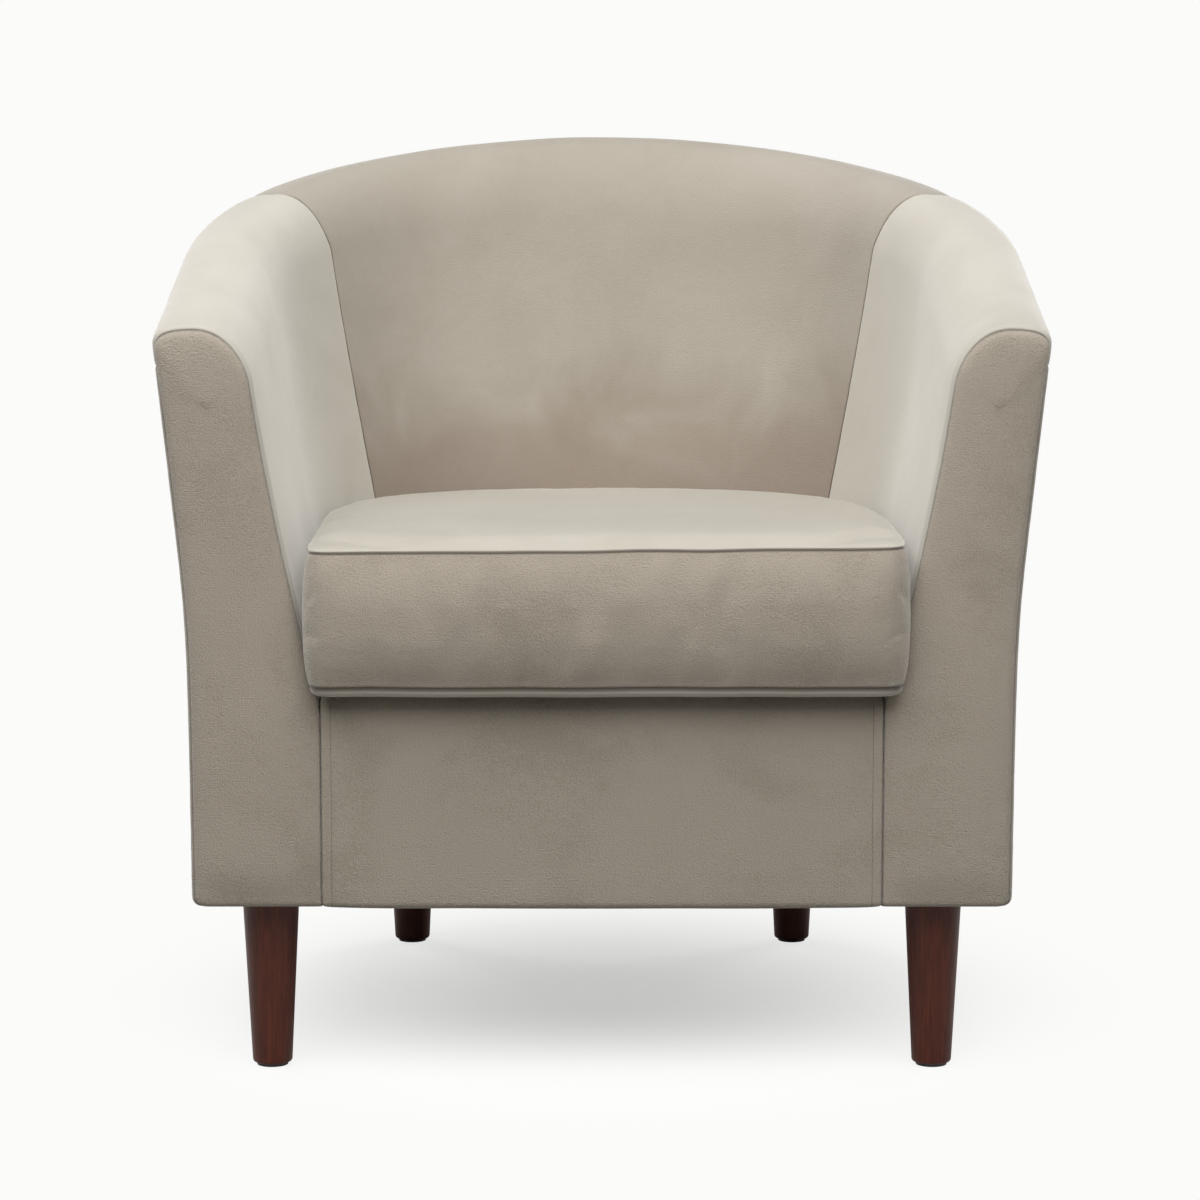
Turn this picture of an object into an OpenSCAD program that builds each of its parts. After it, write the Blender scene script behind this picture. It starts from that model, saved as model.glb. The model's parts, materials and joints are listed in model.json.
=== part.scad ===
/* [Overall] */
// Full width over the outside of the arms at the rim
overall_w = 732; // [680:1:780]
// Depth of the tub from the arm fronts to the outside back
tub_d = 660; // [620:1:700]
// Height of the rim at the middle of the back
back_h = 772; // [730:1:820]
// Height of the rim at the arm fronts
arm_h = 624; // [590:1:660]
// Height of the underside of the upholstery
base_h = 143.5; // [120:0.5:170]
// How far the cushion stands out in front of the arms
overhang = 30; // [22:1:40]

/* [Tub] */
// How far each side lies in from the rim at the underside
base_side_in = 26; // [12:1:40]
// How far each side lies in from the rim at the waist
waist_in = 24; // [12:1:36]
// Height of the waist, where the sides start to flare
waist_h = 380; // [330:1:430]
// How far the outside back lies in from the rim at the underside
base_back_in = 45; // [20:1:70]
// Length of the straight run of each arm
arm_run = 250; // [210:1:290]
// Thickness of each arm at the seat deck, from the inside face to the widest point
arm_wall = 133; // [124:1:144]
// Thickness of the back at the seat deck, from the inside face to the outside rim
back_wall = 160; // [146:1:176]
// Thickness of the wall where its faces are carried up to the rim
rim_wall = 76; // [72:1:88]
// Radius of the rounded lower edge
edge_r = 8; // [5:0.5:12]
// Distance from the outside face in to the crest of the rim
crest_in = 36; // [28:1:42]
// Depth of the outer round of the rim
outer_round = 19; // [14:0.5:26]
// Depth of the inner round of the rim at the arms
arm_round = 48; // [40:1:60]
// Depth of the inner round of the rim at the back
back_round = 70; // [56:1:90]

/* [Upholstery] */
// Thickness of the velvet cover with its fleece
cover_t = 2; // [1.5:0.1:3]
// Thickness of the foam on the inside of the arms and back
foam_t = 27; // [22:0.5:32]
// Thickness of the foam over the top of the rim
rim_foam_t = 20; // [14:0.5:24]
// Thickness of the padding on the arm fronts and the front rail
front_pad_t = 10; // [7:0.5:14]
// Length of cover that laps down the outside below the rim
rim_lap = 14; // [10:1:24]
// Width of cover turned under the lower edge
turn_under = 8; // [5:1:12]
// Thickness of the dust cover
dust_t = 1.2; // [0.8:0.1:1.2]
// Thickness of the board behind the outside covers
board_t = 3; // [2:0.5:4]
// Width of one webbing band
web_w = 38; // [30:1:40]
// Thickness of the webbing
web_t = 1.5; // [1:0.1:2]

/* [Frame] */
// Thickness of the plywood arm posts and front rail
ply_t = 22; // [18:1:26]
// Thickness of the seat rails that carry the springs
seat_rail_t = 28; // [24:1:32]
// Height of the seat rails
seat_rail_h = 70; // [50:1:80]
// Thickness of the bent lower rails
base_rail_t = 12; // [9:0.5:14]
// Height of the bent lower rails
base_rail_h = 70; // [55:1:75]
// How far the rim rail reaches below the inner round
rim_rail_lap = 14; // [10:1:24]
// Width of one back rib
rib_w = 20; // [15:1:24]
// Diameter of the dowels in the front rail
dowel_d = 10; // [8:0.5:12]
// Length of the dowels
dowel_l = 40; // [30:1:50]
// Length of the legs of the front corner blocks
brace_l = 60; // [45:1:75]
// Height of the leg blocks
block_h = 44; // [36:1:52]

/* [Seat] */
// Height of the top of the seat deck
deck_h = 322; // [310:1:334]
// Thickness of the deck pad
deck_pad_t = 10; // [8:0.5:11]
// Diameter of the spring wire
wire_d = 3.8; // [3:0.1:4.2]
// Number of springs
spring_n = 5; // [3:1:6]
// Distance between springs
spring_gap = 88; // [80:1:92]
// Width of one spring
spring_w = 50; // [44:1:56]
// Distance between the bars of a spring, before it is fitted to its rails
spring_pitch = 32; // [28:1:38]
// Diameter of the tie wires across the springs
tie_d = 2.4; // [1.8:0.1:2.8]
// How far back the front cover runs over the deck
deck_flap = 80; // [60:1:110]

/* [Cushion] */
// How far the cushion reaches sideways in front of each arm
ear_w = 14; // [8:1:20]
// Height from the lower to the upper seam
boxing_h = 114; // [100:1:126]
// Rise of the crown above the upper seam
crown_h = 15; // [8:1:24]
// Drop of the underside below the lower seam
belly_h = 7; // [5:0.5:9]
// Gap between the cushion and the tub
cushion_gap = 3; // [2.5:0.5:6]
// How far the seams are drawn in from the front face
seam_draw = 3; // [1:0.5:5]
// Radius of the front corners
cushion_r = 16; // [12:1:18]
// Radius of the back of the cushion along the zip, in half widths of the deck
zip_round = 1.352; // [1.25:0.001:1.36]
// Half of the angle that the zip runs round the back
zip_angle = 24; // [16:0.5:25]
// Width of the zip tape
zip_tape_w = 26; // [20:1:30]
// Thickness of the zip tape
zip_tape_t = 0.8; // [0.5:0.1:1]
// Diameter of the zip coil
zip_coil_d = 2.4; // [2:0.1:3]
// Length of the zip slider
slider_l = 12; // [9:0.5:16]

/* [Legs] */
// Distance of the front leg centres in from the sides
front_leg_side = 62; // [50:1:76]
// Distance between the centres of the rear legs
rear_leg_span = 368; // [330:1:400]
// Distance of the front leg centres behind the arm fronts
front_leg_in = 46; // [45:1:60]
// Distance of the rear leg centres in from the outside back
rear_leg_in = 31; // [30:0.5:40]
// Diameter of a leg at the top
leg_top_d = 47.4; // [40:0.1:54]
// Diameter of a leg at the foot
leg_foot_d = 33.4; // [28:0.1:40]
// Height of the round at the foot of a leg
leg_round = 3; // [1:0.5:5]
// Diameter of the leg bolts
bolt_d = 8; // [6:1:10]
// Depth of a leg bolt in its leg
bolt_in_leg = 45; // [30:1:60]
// Diameter of the glides
glide_d = 26; // [20:1:27]
// Height of a glide below the leg
glide_h = 2.2; // [1.5:0.1:4]

/* [Hidden] */
$fn = 48;
// Clearance between pieces that lie against each other
fit = 0.3;
// Share of each half of the rim that is straight arm
arm_share = 0.29;
// Plan exponents of the outside and inside of the tub
outer_n = 2.2;
inner_n = 2.45;
// Exponents of the inside flare, the outside back and the outer round
flare_n = 1.3;
lean_n = 1.6;
round_n = 2.6;
// Share of a sine in the rise of the rim
rise_share = 0.75;
// Places of the seam between inside back and arms: at the deck, the round and the crest
seam_low = 0.385;
seam_mid = 0.44;
seam_top = 0.49;
// Stations along the back and along one arm
back_stations = 16;
arm_stations = 10;
// Least depth of a round under the foam
small_round = 6;
front_y = overhang - (tub_d + overhang) / 2;
half_rim = overall_w / 2;
half_base = half_rim - base_side_in;
half_waist = half_rim - waist_in;
half_deck = half_rim - arm_wall;
half_inside = half_rim - rim_wall;
half_cushion = half_deck + ear_w;
front_leg_x = half_base - front_leg_side;
base_d = tub_d - base_back_in;
deck_d = tub_d - back_wall;
inside_rim_d = tub_d - rim_wall;
rim_length = 2.35 * half_rim;
seam_gap = fit / rim_length;
base_top = base_h + cover_t + fit;
pad_y = front_y + cover_t + fit;
post_y = pad_y + front_pad_t + fit;
post_back = post_y + ply_t;
clip_t = 1.2;
rail_top = deck_h - cover_t - fit - deck_pad_t - fit - tie_d - wire_d - clip_t - fit;
wire_z = rail_top + clip_t + wire_d / 2 + 0.1;
tie_z = wire_z + wire_d / 2 + tie_d / 2 + 0.1;
pad_z = deck_h - cover_t - fit - deck_pad_t;
post_s = 1 - (post_y - front_y) / arm_run * arm_share;
post_back_s = 1 - (post_back + fit - front_y) / arm_run * arm_share;
clip_l = 9;
clip_foot = 14;
block_margin = 5;
// Leg nuts, blocks and glide pins
nut_d = bolt_d + 2.4;
nut_flange_d = bolt_d + 8;
nut_l = 10;
nut_t = 1.5;
block_half = 28;
pin_d = 3;
pin_l = 14;
// Half width of the zip slider and length of its pull
slider_half = 4.5;
pull_l = 24;
foam_in = cover_t + fit;
foam_back = foam_in + foam_t;
foam_out = foam_in + board_t;
foam_top = foam_in + rim_foam_t;
web_back = foam_back + fit + web_t;
// Room beside the flats of a curved neighbour
slack = 0.9;
rib_in = web_back + 2 * slack + fit;
rib_out = foam_out + fit + slack;
rail_in = cover_t + 1;
rail_x = half_deck + rail_in;
panel_x = half_deck - 1;
base_rail_out = edge_r;
base_rail_in = base_rail_out + base_rail_t;
block_in = base_rail_in + fit;
leg_top = base_h - fit;
cushion_z = deck_h + fit;
seam_z0 = cushion_z + belly_h;
seam_z1 = seam_z0 + boxing_h;
zip_z = (seam_z0 + seam_z1) / 2;
zip_band = zip_tape_w / 2 + 4;
hem_gap = 1;
bolt_slack = 1;
glue_gap = 0.1;
zip_recess = 6;
// Gap between the arm fronts and the ears of the cushion
ear_gap = 1.5;
cushion_front = front_y - overhang;
cushion_mid = front_y + arm_run;
rear_leg_x = rear_leg_span / 2;
rear_share = rear_leg_x / (half_base - rear_leg_in);
rear_rise = pow(1 - pow(rear_share, outer_n), 1 / outer_n);
rear_leg_y = cushion_mid + (base_d - rear_leg_in - arm_run) * rear_rise;
rear_leg_s = 1 - arm_share - (1 - arm_share) * atan2(rear_rise, rear_share) / 90;
leg_places = [for (x = [-1, 1]) each [[x * front_leg_x, front_y + front_leg_in],
    [x * rear_leg_x, rear_leg_y]]];
zip_r = half_deck * zip_round;
zip_y = back_edge(zip_z) - cushion_gap - zip_recess - zip_r;
zip_slope = (inside_rim_d - deck_d) / (back_h - deck_h);
zip_lean = atan(zip_slope);
no_off = [0, 0, 0];
cover_off = [cover_t, cover_t, cover_t];
pad_off = [foam_in, foam_in, foam_in];
foam_off = [foam_back, foam_out, foam_top];
rail_off = [web_back + slack, foam_out + fit, foam_top + fit];
velvet = [0.74, 0.71, 0.66];
velvet_light = [0.8, 0.77, 0.72];
foam_colour = [0.93, 0.89, 0.72];
fibre_colour = [0.95, 0.95, 0.93];
wood_colour = [0.79, 0.64, 0.45];
ply_colour = [0.85, 0.72, 0.54];
leg_colour = [0.24, 0.14, 0.11];
steel_colour = [0.62, 0.63, 0.65];
black_cloth = [0.13, 0.13, 0.14];

// Geometry of the tub
function lerp(a, b, t) = a + (b - a) * t;
function clamp(v, lo, hi) = min(max(v, lo), hi);
// Plan of the tub: s runs from 1 at the right arm front to 0 at the middle of the back
function plan(s, w, yb, n) =
    let (q = 1 - abs(s),
        a = clamp(q / arm_share, 0, 1),
        p = clamp((q - arm_share) / (1 - arm_share), 0, 1) * 90,
        r = pow(pow(cos(p), n) + pow(sin(p), n), -1 / n))
    [sign(s) * w * cos(p) * r, front_y + arm_run * a + (yb - arm_run) * sin(p) * r];
function rim(s) =
    let (q = 1 - abs(s))
    arm_h + (back_h - arm_h) * (rise_share * sin(90 * q) + (1 - rise_share) * q * q * (3 - 2 * q));
function rail_bottom(s) = rim(s) - max(inner_round(s), foam_top + small_round) - rim_rail_lap;
function inner_round(s) = lerp(arm_round, back_round, 1 - abs(s));
function back_edge(z) = front_y + lerp(deck_d, inside_rim_d, max(0, z - deck_h) / (back_h - deck_h));
function inner_face(s, z, off) =
    let (u = clamp((z - deck_h) / (rim(s) - deck_h), 0, 1),
        w = lerp(half_deck, half_inside, 1 - pow(1 - u, flare_n)))
    plan(s, w + off, back_edge(z) - front_y + off, inner_n);
function outer_face(s, z, off) =
    let (low = lerp(half_base, half_waist, clamp((z - base_h) / (waist_h - base_h), 0, 1)),
        up = clamp((z - waist_h) / (rim(s) - outer_round - waist_h), 0, 1),
        lean = clamp((z - base_h) / (back_h - outer_round - base_h), 0, 1),
        w = lerp(low, half_rim, up))
    plan(s, w - off, lerp(base_d, tub_d, pow(lean, lean_n)) - off, outer_n);
// A point on the rounds over the rim, or straight under it where a flat height is given
function round_point(s, side, k, o, flat) =
    let (top = rim(s) - o[2],
        h = max((side == "in" ? inner_round(s) : outer_round) - o[2], small_round),
        m = side == "in" ? 1 : 2 / round_n,
        z = is_undef(flat) ? top - h + h * pow(sin(k), m) : flat,
        a = inner_face(s, z, o[0]),
        b = outer_face(s, z, o[1]),
        wide = norm(b - a),
        out = min(crest_in - o[1], wide - 2),
        e = side == "in" ? (wide - out) * (1 - cos(k)) : wide - out * (1 - pow(cos(k), m)),
        p = a + (b - a) * e / wide)
    [p[0], p[1], z];
// Rows of the wall section: each is a kind and a value along it
function wall_point(s, row, o) =
    row[0] == "inner" ? let (z = lerp(pad_z, rim(s) - max(inner_round(s), o[2] + small_round), row[1]))
        concat(inner_face(s, z, o[0]), z) :
    row[0] == "in" || row[0] == "out" ? round_point(s, row[0], row[1], o) :
    row[0] == "lap" ? let (z = rim(s) - outer_round - rim_lap * row[1]) concat(outer_face(s, z, o[1]), z) :
    row[0] == "outer" ? let (z = lerp(rim(s) - outer_round - rim_lap - fit, base_h + edge_r, row[1]))
        concat(outer_face(s, z, o[1]), z) :
    row[0] == "edge" ? let (z = base_h + edge_r - (edge_r - o[1]) * sin(row[1]))
        concat(outer_face(s, z, edge_r - (edge_r - o[1]) * cos(row[1])), z) :
    concat(outer_face(s, base_h, edge_r + row[1]), base_h + o[1]);
function seam_at(row) =
    row[0] == "inner" ? lerp(seam_low, seam_mid, row[1]) :
    row[0] == "in" ? lerp(seam_mid, seam_top, row[1] / 90) : seam_top;
// Grids of points over one arm or the whole back
function arm_grid(rows, o, y0) =
    let (s0 = 1 - (y0 - front_y) / arm_run * arm_share)
    [for (i = [0:arm_stations]) [for (row = rows)
        wall_point(lerp(s0, seam_at(row) + seam_gap, i / arm_stations), row, o)]];
function back_grid(rows, o) =
    [for (i = [0:back_stations]) [for (row = rows)
        wall_point(lerp(seam_at(row), -seam_at(row), i / back_stations), row, o)]];
inside_rows = concat([for (f = [0:0.25:1]) ["inner", f]], [for (k = [15:15:90]) ["in", k]],
    [for (k = [68, 45, 22, 0]) ["out", k]], [["lap", 1]]);
foam_rows = concat([for (f = [0:0.25:1]) ["inner", f]], [for (k = [30:30:90]) ["in", k]],
    [["out", 45], ["out", 0], ["lap", 1]]);
outside_rows = concat([for (f = [0:0.2:1]) ["outer", f]],
    [["edge", 45], ["edge", 90], ["under", turn_under]]);
rail_rows = [["in", 0], ["in", 45], ["in", 90], ["out", 45], ["out", 0]];

// A closed solid between two grids of points that lie over each other
module shell(over, under) {
    ns = len(over);
    nr = len(over[0]);
    points = concat([for (line = over) each line], [for (line = under) each line]);
    a = function (i, j) i * nr + j;
    b = function (i, j) ns * nr + i * nr + j;
    faces = concat(
        [for (i = [0:ns - 2], j = [0:nr - 2]) each [[a(i, j), a(i, j + 1), a(i + 1, j + 1)],
            [a(i, j), a(i + 1, j + 1), a(i + 1, j)], [b(i, j), b(i + 1, j + 1), b(i, j + 1)],
            [b(i, j), b(i + 1, j), b(i + 1, j + 1)]]],
        [for (j = [0:nr - 2]) each [[a(0, j), b(0, j + 1), a(0, j + 1)], [a(0, j), b(0, j), b(0, j + 1)],
            [a(ns - 1, j), a(ns - 1, j + 1), b(ns - 1, j + 1)],
            [a(ns - 1, j), b(ns - 1, j + 1), b(ns - 1, j)]]],
        [for (i = [0:ns - 2]) each [[a(i, 0), a(i + 1, 0), b(i + 1, 0)], [a(i, 0), b(i + 1, 0), b(i, 0)],
            [a(i, nr - 1), b(i + 1, nr - 1), a(i + 1, nr - 1)],
            [a(i, nr - 1), b(i, nr - 1), b(i + 1, nr - 1)]]]);
    turn = cross(over[0][1] - over[0][0], over[1][1] - over[0][0]) * (over[0][0] - under[0][0]) > 0;
    polyhedron(points, turn ? [for (f = faces) [f[2], f[1], f[0]]] : faces);
}

// Plan band between two offsets of a face, from one station to another
module plan_band(outside, z, off_a, off_b, s0, s1, steps) {
    face = function (s, off) outside ? outer_face(s, z, off) : inner_face(s, z, off);
    polygon(concat([for (i = [0:steps]) face(lerp(s0, s1, i / steps), off_a)],
        [for (i = [steps:-1:0]) face(lerp(s0, s1, i / steps), off_b)]));
}

// Outline of the arm front at one offset
function front_outline(o, low_x, low_z) =
    concat([[low_x, low_z]],
        [for (row = inside_rows) let (p = wall_point(1, row, o)) [p[0], max(p[2], pad_z)]],
        [for (row = outside_rows) if (row[0] != "under") let (p = wall_point(1, row, o)) [p[0], p[2]]]);
module upright(y0, t) {
    translate([0, y0 + t, 0]) rotate([90, 0, 0]) linear_extrude(t) children();
}

// Covers
module inside_back_cover() {
    color(velvet_light) shell(back_grid(inside_rows, no_off), back_grid(inside_rows, cover_off));
}
module inside_arm_cover() {
    color(velvet_light) shell(arm_grid(inside_rows, no_off, pad_y), arm_grid(inside_rows, cover_off, pad_y));
}
module inside_arm_cover_right() {
    inside_arm_cover();
}
module inside_arm_cover_left() {
    mirror([1, 0, 0]) inside_arm_cover();
}
module arm_front_panel() {
    color(velvet) upright(front_y, cover_t)
        polygon(front_outline(no_off, panel_x + fit, base_h));
}
module arm_front_panel_right() {
    arm_front_panel();
}
module arm_front_panel_left() {
    mirror([1, 0, 0]) arm_front_panel();
}
module front_rail_cover() {
    half = panel_x;
    color(velvet) translate([-half, 0, 0]) rotate([90, 0, 90]) linear_extrude(2 * half) polygon([
        [front_y, base_h], [front_y, deck_h], [front_y + deck_flap, deck_h],
        [front_y + deck_flap, deck_h - cover_t], [front_y + cover_t, deck_h - cover_t],
        [front_y + cover_t, base_h + cover_t], [front_y + edge_r + turn_under, base_h + cover_t],
        [front_y + edge_r + turn_under, base_h]]);
}
module outside_arm_cover() {
    color(velvet) shell(arm_grid(outside_rows, no_off, pad_y), arm_grid(outside_rows, cover_off, pad_y));
}
module outside_arm_cover_right() {
    outside_arm_cover();
}
module outside_arm_cover_left() {
    mirror([1, 0, 0]) outside_arm_cover();
}
module outside_back_cover() {
    color(velvet) shell(back_grid(outside_rows, no_off), back_grid(outside_rows, cover_off));
}
// Plan of the deck inside the covers, from a distance behind the arm fronts
module deck_outline(y0, gap) {
    s_first = 1 - y0 / arm_run * arm_share;
    polygon([for (i = [0:40]) inner_face(lerp(s_first, -s_first, i / 40), deck_h, -gap)]);
}
module deck_cover() {
    color(black_cloth) translate([0, 0, deck_h - cover_t]) linear_extrude(cover_t)
        deck_outline(deck_flap + fit, 1);
}
module dust_cover() {
    inset = edge_r + turn_under + hem_gap;
    s_first = 1 - inset / arm_run * arm_share;
    color(black_cloth) difference() {
        translate([0, 0, base_h]) linear_extrude(dust_t)
            polygon([for (i = [0:48]) outer_face(lerp(s_first, -s_first, i / 48), base_h, inset)]);
        for (p = leg_places) translate([p[0], p[1], base_h - dust_t])
            cylinder(d = bolt_d + bolt_slack, h = 3 * dust_t);
    }
}

// Padding
module back_foam() {
    color(foam_colour) shell(back_grid(foam_rows, pad_off), back_grid(foam_rows, foam_off));
}
module arm_foam() {
    color(foam_colour) shell(arm_grid(foam_rows, pad_off, post_y), arm_grid(foam_rows, foam_off, post_y));
}
module arm_foam_right() {
    arm_foam();
}
module arm_foam_left() {
    mirror([1, 0, 0]) arm_foam();
}
module arm_front_pad() {
    color(foam_colour) upright(pad_y, front_pad_t)
        polygon(front_outline(pad_off, panel_x + 2 * fit, base_top));
}
module arm_front_pad_right() {
    arm_front_pad();
}
module arm_front_pad_left() {
    mirror([1, 0, 0]) arm_front_pad();
}
module front_rail_pad() {
    color(foam_colour) translate([-panel_x, 0, 0]) rotate([90, 0, 90]) linear_extrude(2 * panel_x) polygon([
        [pad_y, base_top], [pad_y, deck_h - cover_t - fit], [post_back, deck_h - cover_t - fit],
        [post_back, pad_z], [pad_y + front_pad_t, pad_z], [pad_y + front_pad_t, base_top]]);
}
module deck_pad() {
    color(foam_colour) translate([0, 0, pad_z]) linear_extrude(deck_pad_t)
        deck_outline(post_back + fit - front_y, 1);
}

board_rows = [for (f = [0:0.2:1]) ["outer", f]];
module outside_board(s0, s1, steps) {
    at = function (i, row, off) wall_point(lerp(s0, s1, i / steps), row, [0, off, 0]);
    color(ply_colour) shell([for (i = [0:steps]) [for (row = board_rows) at(i, row, foam_in)]],
        [for (i = [0:steps]) [for (row = board_rows) at(i, row, foam_out)]]);
}
module outside_board_right() {
    outside_board(post_s, seam_top + seam_gap, arm_stations);
}
module outside_board_left() {
    mirror([1, 0, 0]) outside_board(post_s, seam_top + seam_gap, arm_stations);
}
module outside_board_back() {
    outside_board(seam_top, -seam_top, back_stations);
}
// A webbing band lies between two stations, in the flat that they span
function web_point(a, b, side) = lerp(a, b, 0.5 + side * web_w / 2 / norm(b - a));
module web_band(i, over, under) {
    color(black_cloth) shell(
        [for (side = [-1, 1]) [for (j = [0:4]) web_point(over[i][j], over[i + 1][j], side)]],
        [for (side = [-1, 1]) [for (j = [0:4]) web_point(under[i][j], under[i + 1][j], side)]]);
}
web_rows = [for (f = [0:0.25:1]) ["inner", f]];
web_over = [foam_back + fit, 0, foam_top];
web_under = [web_back, 0, foam_top];
module back_webbing() {
    for (i = [1, 3, 5, back_stations - 6, back_stations - 4, back_stations - 2])
        web_band(i, back_grid(web_rows, web_over), back_grid(web_rows, web_under));
}
module arm_webbing_right() {
    over = arm_grid(web_rows, web_over, post_y);
    under = arm_grid(web_rows, web_under, post_y);
    for (i = [2, 5, 8]) web_band(i, over, under);
}
module arm_webbing_left() {
    mirror([1, 0, 0]) arm_webbing_right();
}

// Frame
module rim_rail(s0, s1, steps) {
    color(ply_colour) shell(
        [for (i = [0:steps]) [for (row = rail_rows)
            round_point(lerp(s0, s1, i / steps), row[0], row[1], rail_off)]],
        [for (i = [0:steps]) let (s = lerp(s0, s1, i / steps)) [for (row = rail_rows)
            round_point(s, row[0], row[1], rail_off, rail_bottom(s))]]);
}
module arm_rim_rail_right() {
    rim_rail(post_s, seam_top + seam_gap, arm_stations);
}
module arm_rim_rail_left() {
    mirror([1, 0, 0]) arm_rim_rail_right();
}
module back_rim_rail() {
    rim_rail(seam_top, -seam_top, back_stations);
}
module arm_post() {
    post_top = rail_bottom(post_s) - fit;
    low_z = base_h + rib_out;
    color(ply_colour) difference() {
        upright(post_y, ply_t) polygon(concat(
            [[rail_x, low_z], [rail_x, rail_top]],
            [for (f = [0:0.25:1]) let (z = lerp(rail_top, post_top, f)) [inner_face(1, z, rib_in)[0], z]],
            [for (f = [0:0.2:1]) let (z = lerp(post_top, base_h + edge_r, f))
                [outer_face(1, z, rib_out)[0], z]],
            [for (k = [45, 90]) let (p = wall_point(1, ["edge", k], [rib_in, rib_out, 0])) [p[0], p[2]]]));
        dowels(dowel_d + 0.2, dowel_l + 1);
    }
}
module arm_post_right() {
    arm_post();
}
module arm_post_left() {
    mirror([1, 0, 0]) arm_post();
}
module dowels(d, l) {
    for (i = [1:3])
        translate([rail_x - l / 2, (post_y + post_back) / 2, base_top + i * (rail_top - base_top) / 4])
            rotate([0, 90, 0]) cylinder(d = d, h = l);
}
module rail_dowels() {
    color(wood_colour) for (x = [0, 1]) mirror([x, 0, 0]) dowels(dowel_d, dowel_l);
}
function rib_point(s, f, inside) =
    let (z = lerp(base_top + base_rail_h + fit, rail_bottom(s) - fit, f))
    concat(inside ? inner_face(s, z, rib_in) : outer_face(s, z, rib_out), z);
module rib(s) {
    half = rib_w / 2 / rim_length;
    color(ply_colour) shell(
        [for (i = [-1, 1]) [for (f = [0:0.125:1]) rib_point(s + i * half, f, true)]],
        [for (i = [-1, 1]) [for (f = [0:0.125:1]) rib_point(s + i * half, f, false)]]);
}
module back_ribs() {
    for (i = [-7, -4, 0, 4, 7]) rib(i * 2 * seam_top / back_stations);
}
module side_rib_right() {
    rib(1 - arm_share);
}
module side_rib_left() {
    rib(arm_share - 1);
}
module front_rail() {
    half = rail_x - glue_gap;
    color(ply_colour) difference() {
        translate([-half, post_y, base_top]) cube([2 * half, ply_t, rail_top - base_top]);
        for (x = [0, 1]) mirror([x, 0, 0]) dowels(dowel_d + 0.2, dowel_l + 1);
    }
}
module seat_rail_right() {
    color(wood_colour) translate([rail_x, post_back + fit, rail_top - seat_rail_h])
        cube([seat_rail_t, front_y + arm_run - post_back - fit, seat_rail_h]);
}
module seat_rail_left() {
    mirror([1, 0, 0]) seat_rail_right();
}
module seat_rail_back() {
    s1 = 1 - arm_share;
    color(wood_colour) translate([0, 0, rail_top - seat_rail_h]) linear_extrude(seat_rail_h)
        plan_band(false, deck_h, rail_in, rail_in + seat_rail_t, s1, -s1, 36);
}
module base_rail_right() {
    color(ply_colour) translate([0, 0, base_top]) linear_extrude(base_rail_h)
        plan_band(true, base_h, base_rail_out, base_rail_in, post_back_s, 1 - arm_share, 2);
}
module base_rail_left() {
    mirror([1, 0, 0]) base_rail_right();
}
module base_rail_back() {
    s1 = 1 - arm_share;
    color(ply_colour) translate([0, 0, base_top]) linear_extrude(base_rail_h)
        plan_band(true, base_h, base_rail_out, base_rail_in, s1, -s1, 40);
}
module corner_blocks() {
    x1 = rail_x - fit;
    y1 = post_back + fit;
    color(wood_colour) for (x = [0, 1]) mirror([x, 0, 0])
        translate([0, 0, rail_top - seat_rail_h + block_margin])
            linear_extrude(seat_rail_h - 3 * block_margin)
            polygon([[x1, y1], [x1, y1 + brace_l], [x1 - brace_l, y1]]);
}
module leg_blocks() {
    x1 = outer_face(1, base_h, block_in)[0];
    half = block_half / rim_length;
    color(wood_colour) difference() {
        for (x = [0, 1]) mirror([x, 0, 0]) {
            translate([front_leg_x - block_half, post_back + fit, base_top])
                cube([x1 - front_leg_x + block_half, 2 * block_half, block_h]);
            translate([0, 0, base_top]) linear_extrude(block_h) plan_band(true, base_h, block_in,
                block_in + 2 * block_half, rear_leg_s - half, rear_leg_s + half, 1);
        }
        for (p = leg_places) translate([p[0], p[1], 0]) {
            translate([0, 0, base_h]) cylinder(d = bolt_d + 1, h = block_h + 10);
            translate([0, 0, base_top + block_h - nut_l - 0.5]) cylinder(d = nut_d + 0.2, h = nut_l + 10);
        }
    }
}

// Springs
function back_rail_y(x) =
    let (w = half_deck + rail_in + 8, d = deck_d + rail_in + 8 - arm_run)
    cushion_mid + d * pow(1 - pow(abs(x) / w, inner_n), 1 / inner_n);
spring_xs = [for (i = [0:spring_n - 1]) (i - (spring_n - 1) / 2) * spring_gap];
spring_y = post_back - 8;
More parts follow.
